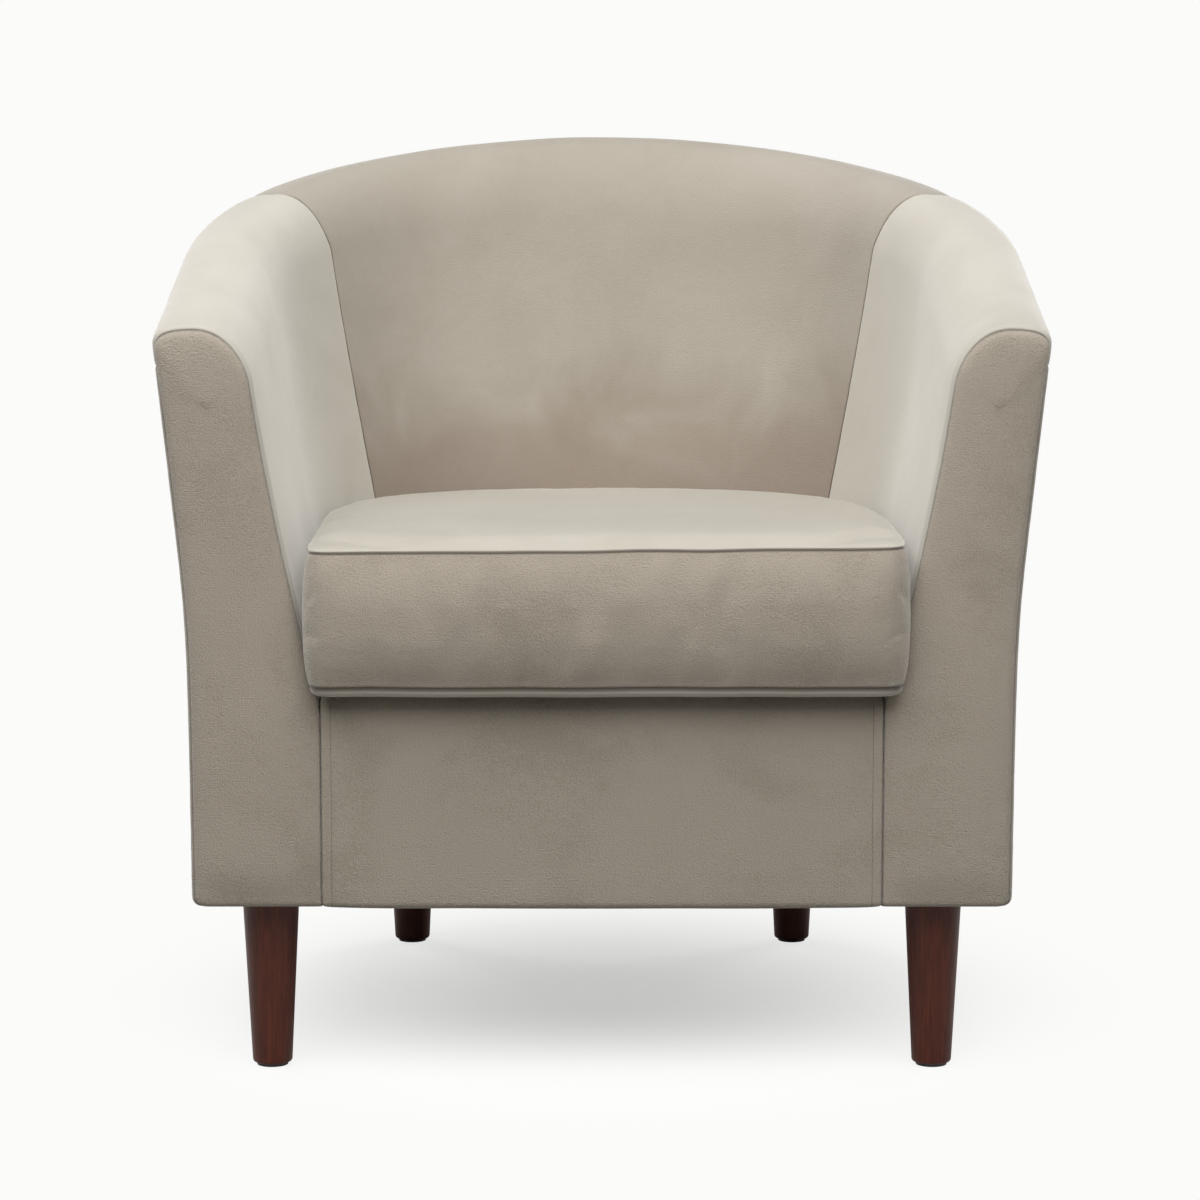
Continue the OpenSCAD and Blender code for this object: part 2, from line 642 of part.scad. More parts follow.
// Middle line of a spring: straight bars joined by round bends, each side in turn
function spring_line(x) =
    let (run = back_rail_y(x) - spring_y,
        bars = 2 * round(run / spring_pitch / 2) + 1,
        pitch = run / (bars - 1),
        half = (spring_w - pitch - wire_d) / 2)
    [for (i = [0:bars - 1]) let (side = i % 2 == 0 ? 1 : -1, y = spring_y + i * pitch)
        each concat([[x - side * half, y], [x + side * half, y]],
            i == bars - 1 ? [] : [for (k = [60, 120])
                [x + side * (half + pitch / 2 * sin(k)), y + pitch / 2 * (1 - cos(k))]])];
module seat_spring(x) {
    line = spring_line(x);
    n = len(line);
    sides = 6;
    unit = function (v) v / norm(v);
    into = [for (i = [0:n - 1]) unit(line[max(i, 1)] - line[max(i, 1) - 1])];
    from = [for (i = [0:n - 1]) unit(line[min(i, n - 2) + 1] - line[min(i, n - 2)])];
    points = [for (i = [0:n - 1]) let (t = unit(into[i] + from[i]), m = wire_d / 2 / (t * from[i]))
        for (k = [0:sides - 1]) [line[i][0] - t[1] * m * cos(k * 360 / sides),
            line[i][1] + t[0] * m * cos(k * 360 / sides), wire_z + wire_d / 2 * sin(k * 360 / sides)]];
    a = function (i, k) i * sides + k % sides;
    faces = concat([[for (k = [0:sides - 1]) k]], [[for (k = [sides - 1:-1:0]) (n - 1) * sides + k]],
        [for (i = [0:n - 2], k = [0:sides - 1]) each [[a(i, k), a(i + 1, k), a(i + 1, k + 1)],
            [a(i, k), a(i + 1, k + 1), a(i, k + 1)]]]);
    polyhedron(points, faces);
}
module seat_springs() {
    color(steel_colour) for (x = spring_xs) seat_spring(x);
}
module spring_clip(x, y) {
    difference() {
        union() {
            translate([x - clip_l / 2, y - clip_foot / 2, rail_top]) cube([clip_l, clip_foot, clip_t]);
            translate([x - clip_l / 2, y, wire_z]) rotate([0, 90, 0]) cylinder(d = wire_d + 2, h = clip_l);
        }
        translate([x - clip_l, y, wire_z]) rotate([0, 90, 0]) cylinder(d = wire_d + 0.1, h = 2 * clip_l);
    }
}
module spring_clips() {
    color(steel_colour) for (x = spring_xs) {
        spring_clip(x, spring_y);
        spring_clip(x, back_rail_y(x));
    }
}
module tie_wires() {
    half = (spring_n - 1) / 2 * spring_gap + spring_w / 2;
    color(steel_colour) for (y = [0.35, 0.68])
        translate([-half, front_y + y * deck_d, tie_z]) rotate([0, 90, 0]) cylinder(d = tie_d, h = 2 * half);
}

// Legs
module leg(place) {
    foot = leg_foot_d / 2;
    top = leg_top_d / 2;
    color(leg_colour) translate([place[0], place[1], 0]) difference() {
        rotate_extrude($fn = 96) polygon(concat([[0, glide_h]],
            [for (k = [0:15:90])
                [foot - leg_round + leg_round * sin(k), glide_h + leg_round - leg_round * cos(k)]],
            [[top, leg_top - 1], [top - 1, leg_top], [0, leg_top]]));
        translate([0, 0, leg_top - bolt_in_leg - 1]) cylinder(d = bolt_d + 0.1, h = bolt_in_leg + 2);
        translate([0, 0, -1]) cylinder(d = pin_d + 0.1, h = pin_l + glide_h + 2);
    }
}
module leg_front_left() {
    leg(leg_places[0]);
}
module leg_rear_left() {
    leg(leg_places[1]);
}
module leg_front_right() {
    leg(leg_places[2]);
}
module leg_rear_right() {
    leg(leg_places[3]);
}
module leg_bolts() {
    color(steel_colour) for (p = leg_places) translate([p[0], p[1], leg_top - bolt_in_leg])
        cylinder(d = bolt_d, h = bolt_in_leg + base_top + block_h + nut_t + 1 - leg_top);
}
module leg_nuts() {
    color(steel_colour) for (p = leg_places) translate([p[0], p[1], base_top + block_h]) difference() {
        union() {
            translate([0, 0, 0.1]) cylinder(d = nut_flange_d, h = nut_t);
            translate([0, 0, -nut_l]) cylinder(d = nut_d, h = nut_l + 1);
        }
        translate([0, 0, -nut_l - 1]) cylinder(d = bolt_d + 0.1, h = nut_l + nut_t + 3);
    }
}
module leg_glides() {
    color(black_cloth) for (p = leg_places) translate([p[0], p[1], 0]) {
        cylinder(d = glide_d, h = glide_h);
        translate([0, 0, glide_h / 2]) cylinder(d = pin_d, h = pin_l + glide_h / 2);
    }
}

// Cushion
// Right half of its plan at one height: fd and bd are drawn in at the front and back, in is all round
function cushion_half(z, fd, bd, in, ears) =
    let (round_x = (ears ? half_cushion - fd : inner_face(1, z, -cushion_gap)[0]) - cushion_r,
        round_y = cushion_front + fd + cushion_r,
        round_r = cushion_r - in,
        half = round_x + round_r,
        ear_y = max(round_y + 0.5, front_y - cover_t - ear_gap) - in / 2,
        off = -cushion_gap - in,
        r = back_edge(z) - cushion_gap - bd - in - zip_y)
    concat([for (t = [0, 0.35, 0.7, 1]) [t * round_x, round_y - round_r]],
        [for (k = [30, 60, 90]) [round_x + round_r * sin(k), round_y - round_r * cos(k)]],
        [[min(half, inner_face(1, z, off)[0]), ear_y]],
        [for (s = [0.97, 0.86, 0.75, 0.68, 0.6, 0.52, 0.44, 0.37]) let (p = inner_face(s, z, off))
            [min(half, p[0]), p[1]]],
        [for (k = [zip_angle + 3, zip_angle * 0.75, zip_angle / 2, zip_angle / 4, 0])
            [r * sin(k), zip_y + r * cos(k)]]);
half_n = 21;
ring_n = 2 * half_n - 2;
zip_from = 15;
// Step of the rings inwards along the depth, as a share of that across the width
depth_step = 0.4;
function cushion_ring(z, fd, bd, in, scale, zr) =
    let (h = cushion_half(z, fd, bd, in, scale == 1),
        deep = 1 - (1 - scale) * depth_step)
    [for (i = [0:ring_n - 1]) let (p = i < half_n ? h[i] : [-h[ring_n - i][0], h[ring_n - i][1]])
        [p[0] * scale, cushion_mid + (p[1] - cushion_mid) * deep, zr]];
// Rings of the top, the sides and the underside: a scale and a height
function top_rings(in) = [for (f = [1, 0.94, 0.78, 0.45])
    cushion_ring(seam_z1, seam_draw, 0, in, f, seam_z1 - in + crown_h * (1 - pow(f, 2.4)))];
function low_rings(in) = [for (f = [[1, 0], [0.94, 0.7], [0.84, 1]])
    cushion_ring(seam_z0, seam_draw, 0, in, f[0], seam_z0 + in - belly_h * f[1])];
function side_levels(in) = let (cut = cover_t + fit)
    [[seam_z0 + cut, seam_draw, 0], [zip_z - zip_band, 0, zip_recess], [zip_z + zip_band, 0, zip_recess],
        [seam_z1 - cut, seam_draw, 0]];
function side_rings(in) = [for (l = side_levels(in)) cushion_ring(l[0], l[1], l[2], in, 1, l[0])];
top_mid = [0, cushion_mid, seam_z1 + crown_h];
low_mid = [0, cushion_mid, seam_z0 - belly_h];
function turned(faces, flip) = flip ? [for (f = faces) [f[2], f[1], f[0]]] : faces;
// Panel between an outside and an inside surface, each of rings from the edge to the middle
module panel(over, under, over_mid, under_mid, flip) {
    nr = len(over);
    n = len(over[0]);
    points = concat([for (r = over) each r], [for (r = under) each r], [over_mid, under_mid]);
    a = function (r, i) r * n + i % n;
    b = function (r, i) (nr + r) * n + i % n;
    mid = 2 * nr * n;
    faces = concat(
        [for (r = [0:nr - 2], i = [0:n - 1]) each [[a(r, i), a(r + 1, i), a(r + 1, i + 1)],
            [a(r, i), a(r + 1, i + 1), a(r, i + 1)], [b(r, i), b(r + 1, i + 1), b(r + 1, i)],
            [b(r, i), b(r, i + 1), b(r + 1, i + 1)]]],
        [for (i = [0:n - 1]) each [[a(nr - 1, i), mid, a(nr - 1, i + 1)],
            [b(nr - 1, i), b(nr - 1, i + 1), mid + 1],
            [a(0, i), a(0, i + 1), b(0, i + 1)], [a(0, i), b(0, i + 1), b(0, i)]]]);
    polyhedron(points, turned(faces, flip));
}
// Closed body from rings stacked upwards; the lowest bands are split like the underside panel
module stack(rings, low, high, low_bands) {
    nr = len(rings);
    n = len(rings[0]);
    points = concat([for (r = rings) each r], [low, high]);
    a = function (r, i) r * n + i % n;
    faces = concat(
        [for (r = [0:nr - 2], i = [0:n - 1]) each r < low_bands ?
            [[a(r + 1, i), a(r + 1, i + 1), a(r, i + 1)], [a(r + 1, i), a(r, i + 1), a(r, i)]] :
            [[a(r + 1, i), a(r + 1, i + 1), a(r, i)], [a(r + 1, i + 1), a(r, i + 1), a(r, i)]]],
        [for (i = [0:n - 1]) each [[nr * n, a(0, i), a(0, i + 1)],
            [nr * n + 1, a(nr - 1, i + 1), a(nr - 1, i)]]]);
    polyhedron(points, faces);
}
module cushion_top_panel() {
    down = [0, 0, cover_t];
    color(velvet_light) panel(top_rings(0), top_rings(cover_t), top_mid, top_mid - down, false);
}
module cushion_bottom_panel() {
    up = [0, 0, cover_t];
    color(velvet) panel(low_rings(0), low_rings(cover_t), low_mid, low_mid + up, true);
}
module boxing(first, last) {
    over = side_rings(0);
    under = side_rings(cover_t);
    shell([for (i = [first:last]) [for (r = over) r[i % ring_n]]],
        [for (i = [first:last]) [for (r = under) r[i % ring_n]]]);
}
module cushion_boxing() {
    color(velvet) boxing(ring_n - zip_from, ring_n + zip_from);
}
module cushion_zip_boxing() {
    color(velvet) boxing(zip_from, ring_n - zip_from);
}
module cushion_foam() {
    in = cover_t + 2 * fit;
    lows = low_rings(in);
    tops = top_rings(in);
    color(fibre_colour) stack(concat([lows[2], lows[1]], side_rings(in), [tops[1], tops[2], tops[3]]),
        low_mid + [0, 0, in], top_mid - [0, 0, in], 2);
}
module round_back(angle) {
    translate([0, zip_y, zip_z]) rotate([0, 0, 90 - zip_angle]) rotate_extrude(angle = angle, $fn = 360)
        translate([zip_r, 0]) rotate(-zip_lean) children();
}
module zip_tape() {
    half = zip_coil_d / 2 + 0.2;
    color(velvet) for (side = [0, 1]) round_back(2 * zip_angle) mirror([0, side])
        translate([fit, half]) square([zip_tape_t, zip_tape_w / 2 - half]);
    color(leg_colour) round_back(2 * zip_angle) translate([fit + zip_coil_d / 2, 0]) circle(d = zip_coil_d);
}
module zip_slider() {
    turn = slider_l / zip_r * 180 / PI;
    low = fit + zip_tape_t + 0.2;
    high = fit + zip_coil_d + 0.3;
    face = high + 1.4;
    pull = face + 1.2;
    h = slider_half;
    color(steel_colour) translate([0, zip_y, 0]) rotate([0, 0, 1]) translate([0, -zip_y, 0])
        round_back(turn) polygon([[low, h], [face, h], [face, 1.5], [pull, 1.5], [pull, 6 - h - pull_l],
            [face, 6 - h - pull_l], [face, -h], [low, -h], [low, 1 - h], [high, 1 - h], [high, h - 1],
            [low, h - 1]]);
}

inside_back_cover();
inside_arm_cover_left();
inside_arm_cover_right();
arm_front_panel_left();
arm_front_panel_right();
front_rail_cover();
outside_arm_cover_left();
outside_arm_cover_right();
outside_back_cover();
deck_cover();
dust_cover();
back_foam();
arm_foam_left();
arm_foam_right();
arm_front_pad_left();
arm_front_pad_right();
front_rail_pad();
deck_pad();
outside_board_left();
outside_board_right();
outside_board_back();
back_webbing();
arm_webbing_left();
arm_webbing_right();
back_rim_rail();
arm_rim_rail_left();
arm_rim_rail_right();
arm_post_left();
arm_post_right();
back_ribs();
side_rib_left();
side_rib_right();
front_rail();
seat_rail_left();
seat_rail_right();
seat_rail_back();
base_rail_left();
base_rail_right();
base_rail_back();
corner_blocks();
leg_blocks();
rail_dowels();
seat_springs();
spring_clips();
tie_wires();
leg_front_left();
leg_front_right();
leg_rear_left();
leg_rear_right();
leg_bolts();
leg_nuts();
leg_glides();
cushion_top_panel();
cushion_bottom_panel();
cushion_boxing();
cushion_zip_boxing();
cushion_foam();
zip_tape();
zip_slider();
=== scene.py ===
import json
import math

import bmesh
import bpy
from mathutils import Matrix, Vector, noise
from mathutils.kdtree import KDTree


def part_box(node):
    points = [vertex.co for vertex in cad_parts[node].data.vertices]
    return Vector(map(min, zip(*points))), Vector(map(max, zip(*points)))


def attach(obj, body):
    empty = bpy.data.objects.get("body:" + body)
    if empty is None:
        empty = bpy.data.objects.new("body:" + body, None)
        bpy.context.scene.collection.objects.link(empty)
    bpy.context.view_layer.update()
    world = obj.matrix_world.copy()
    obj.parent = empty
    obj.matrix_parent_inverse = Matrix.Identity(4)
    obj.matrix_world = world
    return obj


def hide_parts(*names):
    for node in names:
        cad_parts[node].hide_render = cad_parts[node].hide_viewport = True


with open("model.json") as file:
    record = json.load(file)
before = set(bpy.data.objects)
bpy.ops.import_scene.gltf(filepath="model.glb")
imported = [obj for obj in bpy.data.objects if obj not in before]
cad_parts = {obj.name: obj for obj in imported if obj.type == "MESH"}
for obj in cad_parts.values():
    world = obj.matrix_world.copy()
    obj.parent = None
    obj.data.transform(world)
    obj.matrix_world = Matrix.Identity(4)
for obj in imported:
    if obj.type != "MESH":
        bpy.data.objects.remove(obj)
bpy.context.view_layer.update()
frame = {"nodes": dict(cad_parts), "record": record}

nodes = frame["nodes"]
mm = 0.001

# where the chair's main faces lie, read from the frame
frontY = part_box("arm_front_panel_right")[0].y
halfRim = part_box("inside_arm_cover_right")[1].x
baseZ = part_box("outside_back_cover")[0].z
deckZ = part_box("deck_cover")[1].z
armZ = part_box("arm_front_panel_right")[1].z
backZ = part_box("inside_back_cover")[1].z
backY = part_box("inside_back_cover")[1].y
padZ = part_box("inside_back_cover")[0].z

tub = {  # shape of the wall, in metres
    "armRun": 250 * mm,
    "armShare": 0.29,
    "outerPower": 2.2,
    "innerPower": 2.45,
    "flarePower": 1.3,
    "leanPower": 1.6,
    "roundPower": 2.6,
    "riseShare": 0.75,
    "sideIn": 26 * mm,  # underside to rim
    "waistIn": 24 * mm,
    "waistZ": 380 * mm,
    "waistSoft": 24 * mm,  # how gently the waist turns
    "backIn": 45 * mm,
    "armWall": 133 * mm,
    "backWall": 160 * mm,
    "rimWall": 76 * mm,
    "crestIn": 36 * mm,
    "outerRound": 19 * mm,
    "armRound": 48 * mm,
    "backRound": 70 * mm,
    "rimLap": 14 * mm,
    "edgeRound": 8 * mm,
    "turnUnder": 8 * mm,
    "seamLow": 0.385,  # seam between arm and back, at the deck, the round and the crest
    "seamMid": 0.44,
    "seamTop": 0.49,
    "cornerRound": 9 * mm,  # softness of the sewn corner round the arm fronts
    "coverThick": 1.4 * mm,
}
cornerStart = tub["cornerRound"] * (1 - math.sqrt(0.5))  # from the tip of a sewn corner to its seam
halfBase = halfRim - tub["sideIn"]
halfWaist = halfRim - tub["waistIn"]
halfDeck = halfRim - tub["armWall"]
halfInside = halfRim - tub["rimWall"]
tubDepth = backY - frontY


def mix(a, b, t):
    return a + (b - a) * t


def clamp(value, low=0.0, high=1.0):
    return min(max(value, low), high)


def smooth(t):
    t = clamp(t)
    return t * t * (3 - 2 * t)


def planPoint(s, halfWidth, depth, power):
    # s is 1 at the right arm front, 0 at the middle of the back, -1 at the left arm front
    q = 1 - abs(s)
    run = clamp(q / tub["armShare"])
    angle = clamp((q - tub["armShare"]) / (1 - tub["armShare"])) * math.pi / 2
    c = max(math.cos(angle), 0.0)
    n = max(math.sin(angle), 0.0)
    r = (c ** power + n ** power) ** (-1 / power)
    x = math.copysign(halfWidth * c * r, s) if abs(s) > 1e-9 else 0.0
    return Vector((x, frontY + tub["armRun"] * run + (depth - tub["armRun"]) * n * r))


def rimHeight(s):
    q = 1 - abs(s)
    rise = tub["riseShare"] * math.sin(math.pi / 2 * q) + (1 - tub["riseShare"]) * q * q * (3 - 2 * q)
    return armZ + (backZ - armZ) * rise


def innerRound(s):
    return mix(tub["armRound"], tub["backRound"], 1 - abs(s))


def innerDepth(z):
    lift = max(0.0, z - deckZ) / (backZ - deckZ)
    return mix(tubDepth - tub["backWall"], tubDepth - tub["rimWall"], lift)


def innerHalf(s, z):
    u = clamp((z - deckZ) / (rimHeight(s) - deckZ))
    return mix(halfDeck, halfInside, 1 - (1 - u) ** tub["flarePower"])


def innerFace(s, z, off=0.0):
    return planPoint(s, innerHalf(s, z) + off, innerDepth(z) + off, tub["innerPower"])


def outerFace(s, z, off=0.0):
    top = rimHeight(s) - tub["outerRound"]
    flare = (halfRim - halfWaist) / (top - tub["waistZ"]) - (halfWaist - halfBase) / (tub["waistZ"] - baseZ)
    soft = tub["waistSoft"] * math.log(1 + math.exp((z - tub["waistZ"]) / tub["waistSoft"]))
    half = halfBase + (halfWaist - halfBase) * (z - baseZ) / (tub["waistZ"] - baseZ) + flare * soft
    lean = clamp((z - baseZ) / (backZ - tub["outerRound"] - baseZ)) ** tub["leanPower"]
    depth = mix(tubDepth - tub["backIn"], tubDepth, lean)
    return planPoint(s, half - off, depth - off, tub["outerPower"])


def crestPoint(s, inside, turn):
    # the crest is rounded from the inner face up, and from there down to the lap
    depth = innerRound(s) if inside else tub["outerRound"]
    power = 1.0 if inside else 2 / tub["roundPower"]
    z = rimHeight(s) - depth + depth * math.sin(turn) ** power
    a = innerFace(s, z)
    b = outerFace(s, z)
    wide = (b - a).length
    out = min(tub["crestIn"], wide - 2 * mm)
    c = max(math.cos(turn), 0.0)
    across = (wide - out) * (1 - c) if inside else wide - out * (1 - c ** power)
    p = a + (b - a) * across / wide
    return Vector((p.x, p.y, z))


def wallPoint(s, row):
    # a row is a kind of place on the wall's section and how far along it
    kind, along = row
    if kind in ("in", "out"):
        return crestPoint(s, kind == "in", along)
    rim = rimHeight(s)
    off = 0.0
    if kind == "inner":
        z = mix(padZ, rim - innerRound(s), along)
        p = innerFace(s, z)
        return Vector((p.x, p.y, z))
    if kind == "lap":
        z = rim - tub["outerRound"] - tub["rimLap"] * along
    elif kind == "outer":
        z = mix(rim - tub["outerRound"] - tub["rimLap"], baseZ + tub["edgeRound"], along)
    elif kind == "edge":
        z = baseZ + tub["edgeRound"] * (1 - math.sin(along))
        off = tub["edgeRound"] * (1 - math.cos(along))
    else:
        z = baseZ
        off = tub["edgeRound"] + along
    p = outerFace(s, z, off)
    return Vector((p.x, p.y, z))


def seamAt(row):
    kind, along = row
    if kind == "inner":
        return mix(tub["seamLow"], tub["seamMid"], along)
    if kind == "in":
        return mix(tub["seamMid"], tub["seamTop"], along / (math.pi / 2))
    return tub["seamTop"]


def spaced(start, stop, step, tightStart=False, tightStop=False):
    # distances from start to stop, closer together beside a seam
    tight = [d * mm for d in (0.35, 0.8, 1.4, 2.2, 3.4, 5.2, 8.0, 12.0)]
    length = stop - start
    low = [start + d for d in tight if d < length / 3] if tightStart else []
    high = [stop - d for d in reversed(tight) if d < length / 3] if tightStop else []
    a = low[-1] if low else start
    b = high[0] if high else stop
    count = max(1, round((b - a) / step))
    between = [mix(a, b, i / count) for i in range(count + 1)]
    return sorted(set([start, stop] + low + high + between))


# cloth pieces are grids laid over the wall, drawn in at their seams and padded between them
cloth = {
    "step": 8 * mm,
    "softWave": 0.55 * mm,  # slow unevenness of the padding
    "softSize": 75 * mm,
    "softFade": 20 * mm,  # and how soon it sets in beside a seam
    "bulgeReach": 26 * mm,  # padding is full this far from a seam
    "pucker": 0.28 * mm,  # gathers beside a seam
    "puckerSize": 15 * mm,
    "puckerReach": 11 * mm,
    "grooveDeep": 1.7 * mm,
    "grooveWide": 0.6 * mm,
    "pillowDeep": 0.9 * mm,
    "pillowWide": 3.2 * mm,
    "shadeWide": 0.75 * mm,  # painted shade in a seam crease, over this width
}


def seamGroove(d):
    return cloth["grooveDeep"] * math.exp(-d / cloth["grooveWide"])


def seamDip(d):
    # how far the cloth is drawn in at a distance from a seam
    return seamGroove(d) + cloth["pillowDeep"] * math.exp(-d / cloth["pillowWide"])


# painted shade beside a seam: 1 in the seam line, fading a little way off
def seamShade(d):
    return math.exp(-((d / cloth["shadeWide"]) ** 2))


def roundDrop(radius, d):
    # how far a rounded edge has fallen away at a distance from its tip
    return radius - math.sqrt(max(radius ** 2 - (radius - d) ** 2, 0.0)) if d < radius else 0.0


def cornerDrop(d):
    # quarter round of a sewn corner, from its middle out to the flat
    return roundDrop(tub["cornerRound"], d + cornerStart) + seamGroove(d)


def ripple(p, d):
    slow = noise.noise(p / cloth["softSize"]) * cloth["softWave"] * (1 - math.exp(-d / cloth["softFade"]))
    near = noise.noise(p / cloth["puckerSize"] + Vector((7.3, 1.9, 4.1)))
    return slow + near * cloth["pucker"] * math.exp(-d / cloth["puckerReach"])


def gridTable(bm, us, vs):
    # the grid's own places, turned into a row and a column for each vertex
    bmesh.ops.create_grid(bm, x_segments=len(us) - 1, y_segments=len(vs) - 1, size=1.0)
    table = {}
    for vertex in bm.verts:
        i = round((vertex.co.x + 1) / 2 * (len(us) - 1))
        j = round((vertex.co.y + 1) / 2 * (len(vs) - 1))
        table[i, j] = vertex
    return table


def runLengths(table, nu, nv, alongU):
    # length of cloth from the first edge to each vertex, along its row or column
    lengths = {}
    for a in range(nv if alongU else nu):
        total = 0.0
        for b in range(nu if alongU else nv):
            here = (b, a) if alongU else (a, b)
            if b:
                before = (b - 1, a) if alongU else (a, b - 1)
                total += (table[here].co - table[before].co).length
            lengths[here] = total
    return lengths


def mirrorLeft(bm):
    bmesh.ops.scale(bm, vec=(-1, 1, 1), verts=bm.verts[:])
    bmesh.ops.reverse_faces(bm, faces=bm.faces[:])


def clothGrid(us, vs, place, seams, bulge, mirrored, outward):
    # seams names the kind of seam at each edge: uLow, uHigh, vLow, vHigh
    bm = bmesh.new()
    dark = bm.verts.layers.float.new("seam")
    table = gridTable(bm, us, vs)
    nu, nv = len(us), len(vs)
    for (i, j), vertex in table.items():
        vertex.co = place(us[i], vs[j])
    acrossU = runLengths(table, nu, nv, True)
    acrossV = runLengths(table, nu, nv, False)
    uv = bm.loops.layers.uv.new("cloth")
    spot = {vertex: key for key, vertex in table.items()}
    for face in bm.faces:
        for loop in face.loops:
            key = spot[loop.vert]
            middle = acrossU[nu - 1, key[1]] / 2
            loop[uv].uv = (acrossU[key] - middle, acrossV[key])
    bm.normal_update()
    probe = table[nu // 2, nv // 2]
    if probe.normal.dot(outward(probe.co)) < 0:
        bmesh.ops.reverse_faces(bm, faces=bm.faces[:])
        bm.normal_update()
    shift = {}
    for key, vertex in table.items():
        d = 1.0
        drop = 0.0
        edges = (("uLow", acrossU[key]), ("uHigh", acrossU[nu - 1, key[1]] - acrossU[key]),
                 ("vLow", acrossV[key]), ("vHigh", acrossV[key[0], nv - 1] - acrossV[key]))
        for edge, distance in edges:
            kind = seams.get(edge)
            if kind:
                d = min(d, distance)
                drop = max(drop, cornerDrop(distance) if kind == "corner" else seamDip(distance))
        swell = bulge * (1 - math.exp(-d / cloth["bulgeReach"]))
        shift[vertex] = vertex.normal * (swell - drop + ripple(vertex.co, d))
        # painted seam shade, kept on the mesh for the velvet
        vertex[dark] = seamShade(d)
    for vertex, move in shift.items():
        vertex.co += move
    if mirrored:
        mirrorLeft(bm)
    return bm


def addObject(name, data):
    thing = bpy.data.objects.new(name, data)
    bpy.context.scene.collection.objects.link(thing)
    return thing


def meshFrom(name, bm):
    mesh = bpy.data.meshes.new(name)
    bm.to_mesh(mesh)
    bm.free()
    return mesh


def finishPiece(name, bm, material, body, replaced=(), thick=0.0):
    piece = addObject(name, meshFrom(name, bm))
    piece.data.shade_smooth()
    piece.data.materials.append(material)
    if thick:
        wall = piece.modifiers.new("thickness", "SOLIDIFY")
        wall.thickness = thick
        wall.offset = -1.0
    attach(piece, body)
    if replaced:
        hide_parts(*replaced)
    return piece


# materials
def hexColour(code):
    levels = [int(code[i:i + 2], 16) / 255 for i in (1, 3, 5)]
    return tuple(v / 12.92 if v <= 0.04045 else ((v + 0.055) / 1.055) ** 2.4 for v in levels) + (1.0,)


def plug(tree, node, links):
    # a node stands for its first output
    for key, source in links.items():
        tree.links.new(source.outputs[0] if hasattr(source, "outputs") else source, node.inputs[key])


def addNode(tree, kind, settings=None, links=None):
    # a colour ramp takes its places and hex colours as stops
    node = tree.nodes.new("ShaderNode" + kind)
    for key, value in (settings or {}).items():
        if key == "stops":
            elements = node.color_ramp.elements
            while len(elements) < len(value):
                elements.new(0.5)
            for element, (place, code) in zip(elements, value):
                element.position = place
                element.color = hexColour(code)
        elif isinstance(key, int) or key in node.inputs:
            node.inputs[key].default_value = value
        else:
            setattr(node, key, value)
    plug(tree, node, links or {})
    return node


def newMaterial(name, values):
    material = bpy.data.materials.new(name)
    material.use_nodes = True
    tree = material.node_tree
    shader = tree.nodes["Principled BSDF"]
    for key, value in values.items():
        shader.inputs[key].default_value = value
    return material, tree, shader


# one velvet in lit and shaded copies: this tone is the shaded one, for the fronts and outsides
velvetLook = {
    "dark": "#90887a",
    "middle": "#968d80",
    "light": "#9c9386",
    "mottleSize": 120,  # brushed patches, mm
    "streakSize": 34,
    "pileSize": 1.4,  # clumps of pile
    "pileTone": 1.0,  # their part in the tone, and their relief in mm
    "pileRelief": 1.25,
    "weaveStep": 1.9,  # ribs of the backing that show through, drawn coarser than the real 0.6 mm
    "weavePart": 0.02,
    "toneSpread": 0.27,
    # painted shade in the seam creases: its colour and strength
    "seamShadeTone": "#33271c",
    "seamShadePart": 0.86,
    "sheen": "#ebe9e4",
    # painted shade, in the looks that have it: its greatest strength
    "paintedShadePart": 0.85,
    "paintedShadePatch": 0.16,  # how uneven the edge of the painted shade is, in metres
}
# painted light: a lighter copy for the cushion's top and bottom panels
topVelvetLook = dict(velvetLook, dark="#a5a094", middle="#aaa59a", light="#afaaa0", pileTone=0.12,
                     pileRelief=0.3)
# painted light: a lighter copy for the inside arms, with painted shade towards their front
armVelvetLook = dict(topVelvetLook, dark="#b1aca1", middle="#b7b2a8", light="#bdb8ae",
                     paintedShadeTone="#9e998f", paintedShadeAlong="Y", paintedShadeFrom=-0.37, paintedShadeTo=-0.06)
# the inside back's own copy, with warm painted shade at its foot
backVelvetLook = dict(velvetLook, dark="#979084", middle="#9c9589", light="#a19a8f", pileTone=0.3,
                      pileRelief=0.6, paintedShadeTone="#887b6f", paintedShadeAlong="Z", paintedShadeFrom=0.53, paintedShadeTo=0.66)


